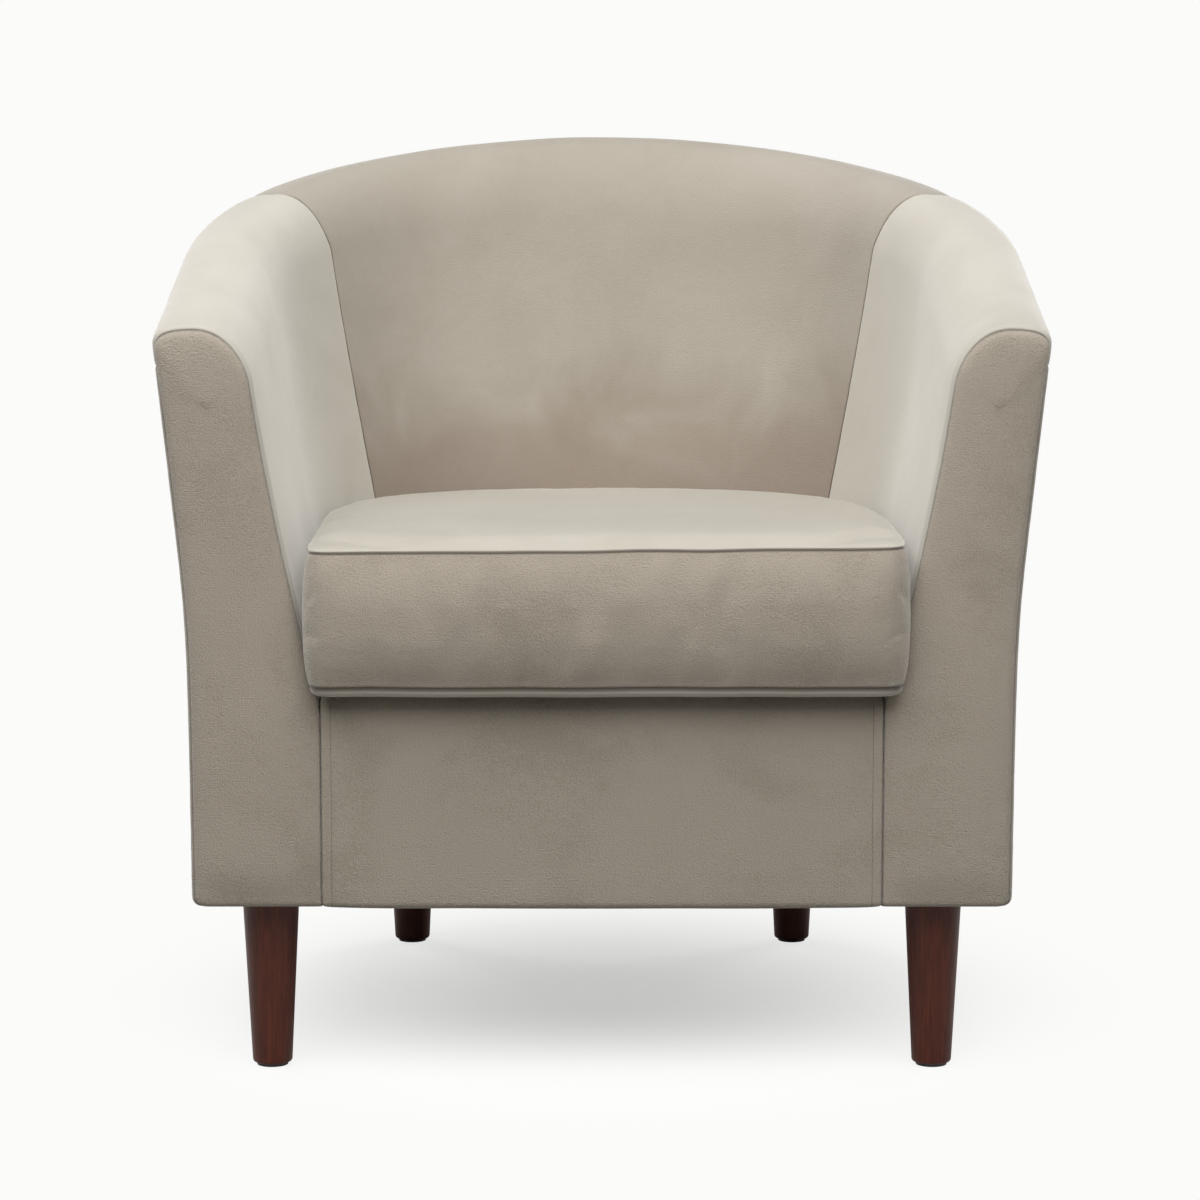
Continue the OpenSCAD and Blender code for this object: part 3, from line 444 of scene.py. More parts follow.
def velvetFabric(name, look):
    # short cut pile: no gloss, a bright edge where the pile is seen from the side,
    # and patches where a hand has brushed it
    material, tree, shader = newMaterial(name, {
        "Roughness": 0.92, "IOR": 1.45, "Specular IOR Level": 0.18,
        "Sheen Weight": 0.8, "Sheen Roughness": 0.4, "Sheen Tint": hexColour(look["sheen"])})
    place = addNode(tree, "TexCoord")
    mottle = addNode(tree, "TexNoise", {
        "Scale": 1 / (look["mottleSize"] * mm), "Detail": 3.0, "Roughness": 0.55, "Distortion": 0.6},
        {"Vector": place.outputs["Object"]})
    stretch = addNode(tree, "Mapping", {"Scale": (1.0, 1.0, 2.6)}, {"Vector": place.outputs["Object"]})
    streak = addNode(tree, "TexNoise", {
        "Scale": 1 / (look["streakSize"] * mm), "Detail": 4.0, "Roughness": 0.6, "Distortion": 0.3},
        {"Vector": stretch})
    both = addNode(tree, "Math", {"operation": "MULTIPLY_ADD", 1: 0.2}, {0: streak, 2: mottle})
    pile = addNode(tree, "TexNoise", {
        "Scale": 1 / (look["pileSize"] * mm), "Detail": 2.0, "Roughness": 0.7},
        {"Vector": place.outputs["Object"]})
    tone = addNode(tree, "Math", {"operation": "MULTIPLY_ADD", 1: look["pileTone"]}, {0: pile, 2: both})
    centre = 0.6 + look["pileTone"] / 2  # mean of the noises that are added up
    spread = look["toneSpread"]
    colour = addNode(tree, "ValToRGB", {"stops": [
        (centre - spread, look["dark"]), (centre, look["middle"]), (centre + spread, look["light"])]},
        {"Fac": tone})
    # painted shade along the seams, read from the mesh's seam attribute
    seamShadeAttribute = addNode(tree, "Attribute", {"attribute_name": "seam"})
    depth = addNode(tree, "Math", {"operation": "MULTIPLY", 1: look["seamShadePart"]},
                    {0: seamShadeAttribute.outputs["Fac"]})
    if "paintedShadeTone" in look:
        # painted shade: warm and darker at the foot of the back, darker towards the front of the arms
        axes = addNode(tree, "SeparateXYZ", links={"Vector": place.outputs["Object"]})
        patchy = addNode(tree, "Math", {"operation": "MULTIPLY_ADD", 1: look["paintedShadePatch"]},
                         {0: mottle, 2: axes.outputs[look["paintedShadeAlong"]]})
        level = addNode(tree, "MapRange", {
            "interpolation_type": "SMOOTHSTEP", "From Min": look["paintedShadeFrom"], "From Max": look["paintedShadeTo"],
            "To Min": look["paintedShadePart"], "To Max": 0.0}, {"Value": patchy})
        withPaintedShade = addNode(tree, "Mix", {"data_type": "RGBA", 7: hexColour(look["paintedShadeTone"])},
                       {0: level, 6: colour})
        colour = withPaintedShade.outputs[2]
    seam = addNode(tree, "Mix", {"data_type": "RGBA", 7: hexColour(look["seamShadeTone"])},
                   {0: depth, 6: colour})
    threads = addNode(tree, "Mapping", {
        "Scale": (2 * math.pi / (look["weaveStep"] * mm),) * 3}, {"Vector": place.outputs["UV"]})
    ribs = addNode(tree, "SeparateXYZ", links={"Vector": threads})
    warp = addNode(tree, "Math", {"operation": "SINE"}, {0: ribs.outputs["X"]})
    weft = addNode(tree, "Math", {"operation": "SINE"}, {0: ribs.outputs["Y"]})
    weave = addNode(tree, "Math", {"operation": "ADD"}, {0: warp, 1: weft})
    height = addNode(tree, "Math", {"operation": "MULTIPLY_ADD", 1: look["weavePart"]}, {0: weave, 2: pile})
    bump = addNode(tree, "Bump", {"Strength": 1.0, "Distance": look["pileRelief"] * mm}, {"Height": height})
    plug(tree, shader, {"Base Color": seam.outputs[2], "Normal": bump})
    return material


def grained(name, values, texture, grainSettings, stops, relief=(0.0, 0.0), stretch=(1.0, 1.0, 1.0)):
    # one texture gives the colour and the relief, whose strength and height in mm are relief
    material, tree, shader = newMaterial(name, values)
    place = addNode(tree, "TexCoord")
    along = addNode(tree, "Mapping", {"Scale": stretch}, {"Vector": place.outputs["Object"]})
    grain = addNode(tree, texture, grainSettings, {"Vector": along})
    ramp = addNode(tree, "ValToRGB", {"stops": stops}, {"Fac": grain})
    plug(tree, shader, {"Base Color": ramp})
    if relief[0]:
        bump = addNode(tree, "Bump", {"Strength": relief[0], "Distance": relief[1] * mm}, {"Height": grain})
        plug(tree, shader, {"Normal": bump})
    return material


def plainTimber(name, codes, roughness, size):
    # planed or sawn timber of the frame, unfinished: matt, with long grain
    return grained(name, {"Roughness": roughness, "IOR": 1.5}, "TexNoise",
                   {"Scale": 1 / (size * mm), "Detail": 5.0, "Roughness": 0.62, "Distortion": 0.5},
                   list(zip((0.3, 0.55, 0.8), codes)), (0.3, 0.2), (0.12, 1.0, 1.0))


def wovenBand(name, codes, step, roughness=0.85):
    # flat woven or bonded cloth: matt, with a crossing thread pattern
    material, tree, shader = newMaterial(name, {
        "Roughness": roughness, "IOR": 1.45, "Specular IOR Level": 0.25,
        "Sheen Weight": 0.15, "Sheen Roughness": 0.5})
    place = addNode(tree, "TexCoord")
    threads = addNode(tree, "Mapping", {"Scale": (2 * math.pi / (step * mm),) * 3},
                      {"Vector": place.outputs["Object"]})
    axes = addNode(tree, "SeparateXYZ", links={"Vector": threads})
    waves = [addNode(tree, "Math", {"operation": "SINE"}, {0: axes.outputs[axis]})
             for axis in "XYZ"]
    pair = addNode(tree, "Math", {"operation": "ADD"}, {0: waves[0], 1: waves[1]})
    weave = addNode(tree, "Math", {"operation": "ADD"}, {0: pair, 1: waves[2]})
    level = addNode(tree, "MapRange", {"From Min": -3.0, "From Max": 3.0}, {"Value": weave})
    ramp = addNode(tree, "ValToRGB", {"stops": [(0.2, codes[0]), (0.8, codes[1])]}, {"Fac": level})
    bump = addNode(tree, "Bump", {"Strength": 0.4, "Distance": 0.2 * mm}, {"Height": level})
    plug(tree, shader, {"Base Color": ramp, "Normal": bump})
    return material


def platedSteel(name, code, roughness):
    # drawn steel wire and pressings under zinc: dull metal with fine drawing marks
    material, tree, shader = newMaterial(name, {"Metallic": 1.0, "Base Color": hexColour(code)})
    place = addNode(tree, "TexCoord")
    marks = addNode(tree, "TexNoise", {"Scale": 1 / (0.8 * mm), "Detail": 3.0, "Roughness": 0.6},
                    {"Vector": place.outputs["Object"]})
    spread = addNode(tree, "MapRange", {"To Min": roughness - 0.1, "To Max": roughness + 0.12},
                     {"Value": marks})
    plug(tree, shader, {"Roughness": spread})
    return material


# four copies of one velvet, painted lighter or darker by how the light falls on the faces they cover
velvet = velvetFabric("polyesterVelvetShadedCopy", velvetLook)
topVelvet = velvetFabric("polyesterVelvetLitCopyPanels", topVelvetLook)  # the same cloth, painted lighter: a lit copy
armVelvet = velvetFabric("polyesterVelvetLitCopyArms", armVelvetLook)
backVelvet = velvetFabric("polyesterVelvetBackWithPaintedShade", backVelvetLook)
thread = wovenBand("polyesterThread", ("#6f685c", "#8b8376"), 0.7, 0.7)
blackLining = wovenBand("spunBondedLining", ("#0c0c0d", "#1a1a1b"), 1.6)
webbing = wovenBand("elasticWebbing", ("#17171a", "#2c2c30"), 2.2)
zipCloth = wovenBand("zipTapePolyester", ("#6f685b", "#8d8575"), 1.2)
birchPly = plainTimber("birchPlywood", ("#b08a58", "#c7a26e", "#d8b986"), 0.7, 5.0)
beech = plainTimber("planedBeech", ("#a87848", "#b98a58", "#c99c6a"), 0.6, 3.5)
steel = platedSteel("zincPlatedSteel", "#a9abae", 0.38)
zipMetal = platedSteel("dieCastZinc", "#8f8d88", 0.3)

# open-cell polyurethane foam: matt, with pores
foam = grained("polyurethaneFoam", {"Roughness": 0.95, "IOR": 1.4, "Specular IOR Level": 0.2},
               "TexVoronoi", {"Scale": 1 / (1.6 * mm)}, [(0.1, "#b9a56a"), (0.7, "#e3d49f")],
               (0.5, 0.3))

# moulded nylon glides: satin black with a faint grain
nylon = grained("mouldedNylon", {"Roughness": 0.5, "IOR": 1.53}, "TexNoise",
                {"Scale": 1 / (0.6 * mm), "Detail": 2.0}, [(0.3, "#141414"), (0.7, "#202020")])

# turned legs under espresso stain and satin lacquer: nearly black, red-brown where light catches
espresso = grained("espressoStainedBeech", {"Roughness": 0.45, "IOR": 1.35, "Specular IOR Level": 0.4},
                   "TexNoise",
                   {"Scale": 1 / (3.2 * mm), "Detail": 5.0, "Roughness": 0.6, "Distortion": 0.8},
                   [(0.3, "#39160c"), (0.55, "#4a2114"), (0.8, "#5b2c1c")], (0.12, 0.2), (1.0, 1.0, 0.06))
print("materials made")

# rows up the inside, over the rim and down the lap
innerLength = backZ - padZ


def insideRows():
    inner = [("inner", d / innerLength) for d in spaced(0.0, innerLength, 9 * mm)]
    rounds = [("in", math.radians(a)) for a in range(6, 91, 6)]
    outer = [("out", math.radians(a)) for a in (82, 74, 66, 57, 48, 39, 30, 20, 10, 0)]
    lap = [("lap", d / tub["rimLap"]) for d in spaced(0.0, tub["rimLap"], 4 * mm, False, True)[1:]]
    return inner + rounds + outer + lap


def outsideRows():
    tall = backZ - baseZ
    outer = [("outer", d / tall) for d in spaced(0.0, tall, 12 * mm, True)]
    edge = [("edge", math.radians(a)) for a in (15, 30, 45, 60, 75, 90)]
    return outer + edge + [("under", tub["turnUnder"] * f) for f in (0.5, 1.0)]


cover = {
    "armLength": 560 * mm,  # runs of the rims, only to space their rows
    "backLength": 880 * mm,
    "insideBulge": 1.2 * mm,
    "outsideBulge": 0.3 * mm,
    "fill": 0.85,
}
frontS = 1 - cornerStart / tub["armRun"] * tub["armShare"]
armLength = cover["armLength"]
backLength = cover["backLength"]
armSteps = [d / armLength for d in spaced(0.0, armLength, cloth["step"], True, True)]
backSteps = [d / backLength for d in spaced(0.0, backLength, cloth["step"], True, True)]


def towardsSeat(p):
    return Vector((-p.x, -p.y - 0.05, 0.3))


def awayFromSeat(p):
    return Vector((p.x, p.y + 0.05, 0.0))


def makeInside(name, steps, line, firstSeam, mirrored, material, replaced):
    # line gives the place along the wall from a share of the piece and its row
    bm = clothGrid(steps, insideRows(), lambda f, row: wallPoint(line(f, row), row),
                   {"uLow": firstSeam, "uHigh": "flat", "vHigh": "flat"},
                   cover["insideBulge"], mirrored, towardsSeat)
    return finishPiece(name, bm, material, "chair", replaced, tub["coverThick"])


def makeOutside(name, steps, line, firstSeam, mirrored, replaced):
    bm = clothGrid(steps, outsideRows(), lambda f, row: wallPoint(line(f, row), row),
                   {"uLow": firstSeam, "uHigh": "flat", "vLow": "flat"},
                   cover["outsideBulge"], mirrored, awayFromSeat)
    return finishPiece(name, bm, velvet, "chair", replaced, tub["coverThick"])


armFront = {
    "edgeX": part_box("front_rail_cover")[1].x,  # where it meets the front rail
    "spineDrop": 66 * mm,  # spine ends this far under the crest
    "bulge": 5.0 * mm,
    "reach": 16 * mm,
    "hemRound": 5 * mm,
    "hemFade": 30 * mm,  # the bulge sets in over this height
    "hemTurns": (6 * mm, 10 * mm),  # the hem is turned under in two steps
    "calmHalf": 14 * mm,  # half width of the strip that is smoothed at the spine
}


def makeArmFront(side, mirrored):
    spineZ = armZ - armFront["spineDrop"]
    heights = [baseZ + d for d in spaced(0.0, spineZ - baseZ, 9 * mm, True)]

    def innerX(z):
        return armFront["edgeX"] if z < padZ else innerFace(1, z).x

    def outerX(z):
        return outerFace(1, z).x - roundDrop(tub["edgeRound"], z - baseZ)

    innerSide = [Vector((innerX(z), z)) for z in heights]
    outerSide = [Vector((outerX(z), z)) for z in reversed(heights)]
    innerTop = [mix(spineZ, armZ - tub["armRound"], f) for f in (0.5, 1.0)]
    outerTop = [mix(armZ - tub["outerRound"], spineZ, f) for f in (0.2, 0.4, 0.6, 0.8)]
    rows = [("in", math.radians(a)) for a in range(6, 91, 6)]
    rows += [("out", math.radians(a)) for a in (80, 68, 56, 44, 32, 20, 8, 0)]
    crest = [wallPoint(1, row) for row in rows]
    dome = [Vector((innerX(z), z)) for z in innerTop]
    dome += [Vector((p.x, p.z)) for p in crest]
    dome += [Vector((outerX(z), z)) for z in outerTop]
    outline = innerSide + dome + outerSide
    spineTop = Vector(((innerX(spineZ) + outerX(spineZ)) / 2, spineZ))
    count = len(heights)

    def spineAt(k):
        if k < count:
            z = heights[k]
        elif k >= len(outline) - count:
            z = heights[len(outline) - 1 - k]
        else:
            return spineTop
        return Vector(((innerX(z) + outerX(z)) / 2, z))

    def spineX(z):
        z = min(z, spineZ)
        return (innerX(z) + outerX(z)) / 2

    near = [d * mm for d in (0.0, 0.4, 0.9, 1.6, 2.5, 3.6, 5.0, 7.0, 10.0, 15.0)]
    crossSteps = near + [0.2, 0.4, 0.6, 0.8, 1.0]  # distances from the edge, then shares of the way left

    def place(k, step):
        a = outline[k]
        b = spineAt(k)
        length = (b - a).length
        besideRail = k < count and heights[k] < deckZ
        start = 0.0 if besideRail else cornerStart
        d = step if step in near else mix(near[-1], length - start, step)
        p = a + (b - a) * (start + d) / length
        y = frontY + (seamDip(d) if besideRail else cornerDrop(d))
        hem = p.y - baseZ
        y += roundDrop(armFront["hemRound"], hem)
        y -= armFront["bulge"] * (1 - math.exp(-d / armFront["reach"])) * smooth(hem / armFront["hemFade"])
        point = Vector((p.x, y, p.y))
        point.y -= ripple(Vector((p.x + (0.5 if mirrored else 0), y, p.y)), d)  # each side has its own
        return point

    bm = bmesh.new()
    dark = bm.verts.layers.float.new("seam")
    table = gridTable(bm, list(range(len(outline))), crossSteps)
    for (i, j), vertex in table.items():
        vertex.co = place(i, crossSteps[j])
        # painted seam shade along the sewn edges
        vertex[dark] = seamShade(crossSteps[j]) if crossSteps[j] in near else 0.0
    bottom = [e for e in bm.edges if e.is_boundary and all(v.co.z < baseZ + 0.01 * mm for v in e.verts)]
    for turn in armFront["hemTurns"]:
        made = bmesh.ops.extrude_edge_only(bm, edges=bottom)
        verts = [g for g in made["geom"] if isinstance(g, bmesh.types.BMVert)]
        bmesh.ops.translate(bm, vec=(0, turn, 0.2 * mm), verts=verts)
        bottom = [g for g in made["geom"] if isinstance(g, bmesh.types.BMEdge)]
    bmesh.ops.remove_doubles(bm, verts=bm.verts[:], dist=0.15 * mm)
    spine = [v for v in bm.verts
             if v.co.z > baseZ + 20 * mm and abs(v.co.x - spineX(v.co.z)) < armFront["calmHalf"]]
    for _ in range(8):
        bmesh.ops.smooth_vert(bm, verts=spine, factor=0.5, use_axis_x=False, use_axis_y=True,
                              use_axis_z=False)
    uv = bm.loops.layers.uv.new("cloth")
    for face in bm.faces:
        for loop in face.loops:
            loop[uv].uv = (loop.vert.co.x, loop.vert.co.z)
    bmesh.ops.recalc_face_normals(bm, faces=bm.faces[:])
    bm.normal_update()
    if table[count // 2, 8].normal.y > 0:
        bmesh.ops.reverse_faces(bm, faces=bm.faces[:])
    if mirrored:
        mirrorLeft(bm)
    return finishPiece("armFront" + side, bm, velvet, "chair",
                       ("arm_front_panel_" + side.lower(), "arm_front_pad_" + side.lower()),
                       tub["coverThick"])


frontRail = {
    "flap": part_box("front_rail_cover")[1].y,  # it ends here under the cushion
    "topRound": 14 * mm,
    "lowRound": 5 * mm,
    "under": 15 * mm,  # and is turned this far under the chair
    "bulge": 1.6 * mm,
    "stitchIn": 8.5 * mm,  # from the cover's side edge to its stitches
    "stitchGroove": 0.8 * mm,
    "stitchWide": 0.9 * mm,
    "stitchFade": 12 * mm,  # the groove of the stitches runs out over this height at both ends
}


def frontRailProfile():
    r = frontRail["lowRound"]
    points = [Vector((frontY + frontRail["under"], baseZ)), Vector((frontY + 10 * mm, baseZ))]
    for a in range(0, 91, 15):
        t = math.radians(a)
        points.append(Vector((frontY + r - r * math.sin(t), baseZ + r - r * math.cos(t))))
    low, high = baseZ + r, deckZ - frontRail["topRound"]
    count = 20
    points += [Vector((frontY, mix(low, high, i / count))) for i in range(1, count + 1)]
    r = frontRail["topRound"]
    for a in range(15, 91, 15):
        t = math.radians(a)
        points.append(Vector((frontY + r - r * math.cos(t), deckZ - r + r * math.sin(t))))
    points += [Vector((mix(frontY + r, frontRail["flap"], f), deckZ))
               for f in (0.2, 0.4, 0.6, 0.8, 0.97, 1.0)]
    return points


def makeFrontRail():
    half = armFront["edgeX"]
    profile = frontRailProfile()
    stitchX = half - frontRail["stitchIn"]
    extra = [stitchX + d * mm for d in (-1.6, -0.6, 0.0, 0.6, 1.6)]
    xs = sorted(set(spaced(-half, half, 9 * mm, True, True) + extra + [-x for x in extra]))

    def place(x, k):
        p = profile[k]
        groove = math.exp(-((abs(x) - stitchX) / frontRail["stitchWide"]) ** 2) * frontRail["stitchGroove"]
        fade = frontRail["stitchFade"]
        onFace = smooth((p.y - baseZ) / fade) * smooth((deckZ - p.y) / fade)
        return Vector((x, p.x + groove * onFace, p.y))

    bm = clothGrid(xs, list(range(len(profile))), place, {"uLow": "flat", "uHigh": "flat"},
                   frontRail["bulge"], False, lambda p: Vector((0, -1, 0.2)))
    # painted shade in the stitch line: the seam shade at full strength there
    paintedShadeLayer = bm.verts.layers.float["seam"]
    for v in bm.verts:
        if abs(abs(v.co.x) - stitchX) < 0.2 * mm and v.co.z < deckZ - 9 * mm:
            v[paintedShadeLayer] = 1.0
    line = sorted((v.co.z, v.co.y) for v in bm.verts
                  if abs(v.co.x - stitchX) < 0.2 * mm and v.co.y < frontY + 3 * mm)
    finishPiece("frontRailCover", bm, velvet, "chair", ("front_rail_cover", "front_rail_pad"),
                tub["coverThick"])
    makeStitches(stitchX, line)


stitch = {
    "length": 2.9 * mm,
    "step": 3.9 * mm,
    "round": 0.34 * mm,
    "ends": 6 * mm,
    "sink": 0.1 * mm,
    "tilt": 0.05,  # radians
}


def makeStitches(x, line):
    # a row of topstitching beside each edge of the rail cover, lying on its face
    bm = bmesh.new()
    low, high = line[0][0] + stitch["ends"], line[-1][0] - stitch["ends"]
    count = int((high - low) / stitch["step"])
    for i in range(count + 1):
        z = low + i * stitch["step"]
        k = next(k for k in range(1, len(line)) if line[k][0] >= z)
        f = (z - line[k - 1][0]) / (line[k][0] - line[k - 1][0])
        y = mix(line[k - 1][1], line[k][1], f)
        for side in (-1, 1):
            made = bmesh.ops.create_uvsphere(bm, u_segments=8, v_segments=6, radius=stitch["round"])
            bmesh.ops.scale(bm, vec=(1, 1, stitch["length"] / (2 * stitch["round"])), verts=made["verts"])
            bmesh.ops.rotate(bm, matrix=Matrix.Rotation(stitch["tilt"], 3, "Y"), verts=made["verts"])
            bmesh.ops.translate(bm, vec=(side * x, y - stitch["sink"], z), verts=made["verts"])
    return finishPiece("railStitches", bm, thread, "chair")


hands = (("Right", False), ("Left", True))  # left pieces are made as right ones and mirrored
makeInside("insideBack", backSteps, lambda f, row: mix(seamAt(row), -seamAt(row), f), "flat", False,
           backVelvet, ("inside_back_cover", "back_foam"))
for side, mirrored in hands:
    makeInside("insideArm" + side, armSteps, lambda f, row: mix(frontS, seamAt(row), f), "corner", mirrored,
               armVelvet, ("inside_arm_cover_" + side.lower(), "arm_foam_" + side.lower()))
makeOutside("outsideBack", backSteps, lambda f, row: mix(tub["seamTop"], -tub["seamTop"], f), "flat", False,
            ("outside_back_cover",))
for side, mirrored in hands:
    makeOutside("outsideArm" + side, armSteps, lambda f, row: mix(frontS, tub["seamTop"], f), "corner",
                mirrored, ("outside_arm_cover_" + side.lower(),))
for side, mirrored in hands:
    makeArmFront(side, mirrored)
makeFrontRail()
print("tub covers made")

# cushion
cushionLow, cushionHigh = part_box("cushion_boxing")
cushion = {
    "seamLow": cushionLow.z,  # bottom and top seams round the box
    "seamHigh": cushionHigh.z,
    "crown": 5 * mm,  # rise of the top panel, and how far in from the seam it comes
    "crownReach": 55 * mm,
    "gap": 3 * mm,  # room between the cushion and the tub, and a little more at its sides
    "sideGap": 1.5 * mm,
    "sideShare": 0.66,  # the tub's own outline is followed this far back, up to the zip band
    "cornerRound": 19 * mm,
    "seamIn": 2.5 * mm,  # seams lie this far inside the box's widest part
    "swell": 6 * mm,  # and the box swells out between them
    "swellPower": 2.6,
    "rollWide": 6.5 * mm,  # roll of the top panel over its seam
    "rollHigh": 3.8 * mm,
    "rollWideLow": 8 * mm,  # and of the bottom panel, which then lies flat on the deck
    "rollLow": 8.8 * mm,
    "earHalf": cushionHigh.x,  # half width in front of the arms
    "frontY": cushionLow.y,
    "earGap": 5 * mm,
    "zipCentre": -127 * mm,  # the zip band is part of a circle round this place
    "zipRound": 315 * mm,
    "zipAngle": 24,  # degrees to each side
    "zipHalf": 12.5 * mm,
    "zipSink": 0.4 * mm,
    "cell": 9 * mm,
    "backCorner": 0.765,  # share of the rim where its back corner lies
    "tuck": 12 * mm,  # the front corner lies this far round the bend
    "seamDeep": 0.9 * mm,  # groove at a seam, and the ridge that stands up beside it
    "seamWide": 0.7 * mm,
    "ridge": 0.3 * mm,
    "ridgeAt": 1.5 * mm,
    "ridgeWide": 1.2 * mm,
    "wave": 0.55 * mm,  # unevenness of the filling
    "waveSize": 70 * mm,
    "waveFade": 30 * mm,
    "wander": 0.9 * mm,  # how far the sewn seams run off their line
    "wanderSize": 55 * mm,
    "wanderReach": 18 * mm,
    "lean": 3.5 * mm,  # it sits a little higher at the right of its front
    "shift": 3.5 * mm,  # and to the right
    "leanFrom": 50 * mm,  # both begin here and grow over this run towards the front
    "leanRun": 300 * mm,
    "backDrop": 8 * mm,  # its top falls from here over this run towards the back
    "dropFrom": -120 * mm,
    "dropRun": 270 * mm,
}
filling = {
    "frames": 20,
    "earHalf": 222 * mm,  # cloth wider than this and beside an arm's front edge holds still
    "earReach": 12 * mm,
    "mostMove": 6 * mm,
    "tubMove": 1.8 * mm,  # most move of the box where the tub is round it
    "seamFade": 14 * mm,  # moves fade out over this distance from a seam
}
fillingCloth = {
    "quality": 6,
    "mass": 0.3,
    "tension_stiffness": 12,
    "compression_stiffness": 12,
    "bending_stiffness": 0.6,
    "use_pressure": True,
    "uniform_pressure_force": 4.0,
    "shrink_min": -0.012,
    "vertex_group_mass": "held",
}


def cushionOutline(z):
    # right half of the plan of the seams at a height, from the front middle round to the back middle
    c = cushion
    radius = c["cornerRound"]
    half = c["earHalf"] - c["seamIn"]
    cornerX = half - radius
    cornerY = c["frontY"] + c["seamIn"] + radius
    points = [(t * cornerX, c["frontY"] + c["seamIn"]) for t in (i / 22 for i in range(23))]
    for a in range(10, 91, 10):
        t = math.radians(a)
        points.append((cornerX + radius * math.sin(t), cornerY - radius * math.cos(t)))
    earY = frontY - c["earGap"]
    if earY > cornerY:
        points.append((half, earY))
    side = []
    for i in range(1, 60):
        s = 1 - i / 59 * c["sideShare"]
        p = innerFace(s, z, -c["gap"] - c["sideGap"])
        side.append((min(p.x, half + 2 * mm), p.y))
    points.append((min(half, side[0][0] + 2 * mm), frontY + 2 * mm))
    points += side
    deep = innerDepth(z) + frontY - c["gap"] - c["zipCentre"]
    turn = [math.radians(a) for a in range(c["zipAngle"] + 2, -1, -2)]
    points += [(deep * math.sin(t), c["zipCentre"] + deep * math.cos(t)) for t in turn]
    return points


def evenly(points, count):
    # the same line again as count equal steps, and its length
    lengths = [0.0]
    for a, b in zip(points, points[1:]):
        lengths.append(lengths[-1] + math.dist(a, b))
    result = []
    k = 0
    for i in range(count + 1):
        want = lengths[-1] * i / count
        while k < len(lengths) - 2 and lengths[k + 1] < want:
            k += 1
        span = lengths[k + 1] - lengths[k]
        f = (want - lengths[k]) / span if span else 0.0
        result.append((mix(points[k][0], points[k + 1][0], f), mix(points[k][1], points[k + 1][1], f)))
    return result, lengths[-1]


halfLine = {}  # the outlines that are already worked out, by height


def cushionRim(share, z):
    # share runs from 0 at the front middle to 1 at the back middle, negative on the left
    key = round(z, 5)
    if key not in halfLine:
        halfLine[key] = evenly(cushionOutline(z), 400)[0]
    line = halfLine[key]
    f = min(abs(share), 2 - abs(share)) * (len(line) - 1)
    k = min(int(f), len(line) - 2)
    a, b = line[k], line[k + 1]
    x, y = mix(a[0], b[0], f - k), mix(a[1], b[1], f - k)
    left = share < 0 or share > 1
    return Vector((-x if left else x, y))


rimLength = evenly(cushionOutline(cushion["seamHigh"]), 1)[1]
frontCorner = (cushion["earHalf"] - cushion["cornerRound"] + cushion["tuck"]) / rimLength
backCorner = cushion["backCorner"]
rowsAtSeam = [d * mm for d in (0.6, 1.5, 3.0, 6.0)]


def alongEdge(start, stop):
    # shares of the rim from one corner to the next, closer together at the corners
    length = (stop - start) * rimLength
    steps = spaced(0.0, length, cushion["cell"])
    free = rowsAtSeam[-1] + 2 * mm
    steps = [d for d in steps if free < d < length - free]
    steps = [0.0] + rowsAtSeam + steps + [length - d for d in reversed(rowsAtSeam)] + [length]
    return [d / length for d in steps]


frontSteps = alongEdge(-frontCorner, frontCorner)
sideSteps = alongEdge(frontCorner, backCorner)


def panelPoint(u, v, z):
    # a patch between the front, back and two side edges of the rim
    f = cushionRim(mix(-frontCorner, frontCorner, u), z)
    b = cushionRim(mix(2 - backCorner, backCorner, u), z)
    left = cushionRim(-mix(frontCorner, backCorner, v), z)
    right = cushionRim(mix(frontCorner, backCorner, v), z)
    c00 = cushionRim(-frontCorner, z)
    c10 = cushionRim(frontCorner, z)
    c01 = cushionRim(-backCorner, z)
    c11 = cushionRim(backCorner, z)
    corners = (c00 * (1 - u) + c10 * u) * (1 - v) + (c01 * (1 - u) + c11 * u) * v
    return f * (1 - v) + b * v + left * (1 - u) + right * u - corners


def cushionPanel(z, rise):
    # its inner rows are evened out, but not where they stand close together
    bm = bmesh.new()
    table = gridTable(bm, frontSteps, sideSteps)
    for (i, j), vertex in table.items():
        p = panelPoint(frontSteps[i], sideSteps[j], z)
        vertex.co = Vector((p.x, p.y, z))
    inner = [v for v in bm.verts if not v.is_boundary]
    for _ in range(12):
        loose = [v for v in inner
                 if min((v.co - e.other_vert(v).co).length for e in v.link_edges) > 4 * mm]
        bmesh.ops.smooth_vert(bm, verts=loose, factor=0.5, use_axis_x=True, use_axis_y=True, use_axis_z=False)
    edge = KDTree(400)
    for k in range(400):
        p = cushionRim(k / 200 - (2 if k > 200 else 0), z)
        edge.insert(Vector((p.x, p.y, z)), k)
    edge.balance()
    for v in inner:
        d = edge.find(v.co)[2]
        v.co.z += rise * (1 - math.exp(-d / cushion["crownReach"]))
    return bm


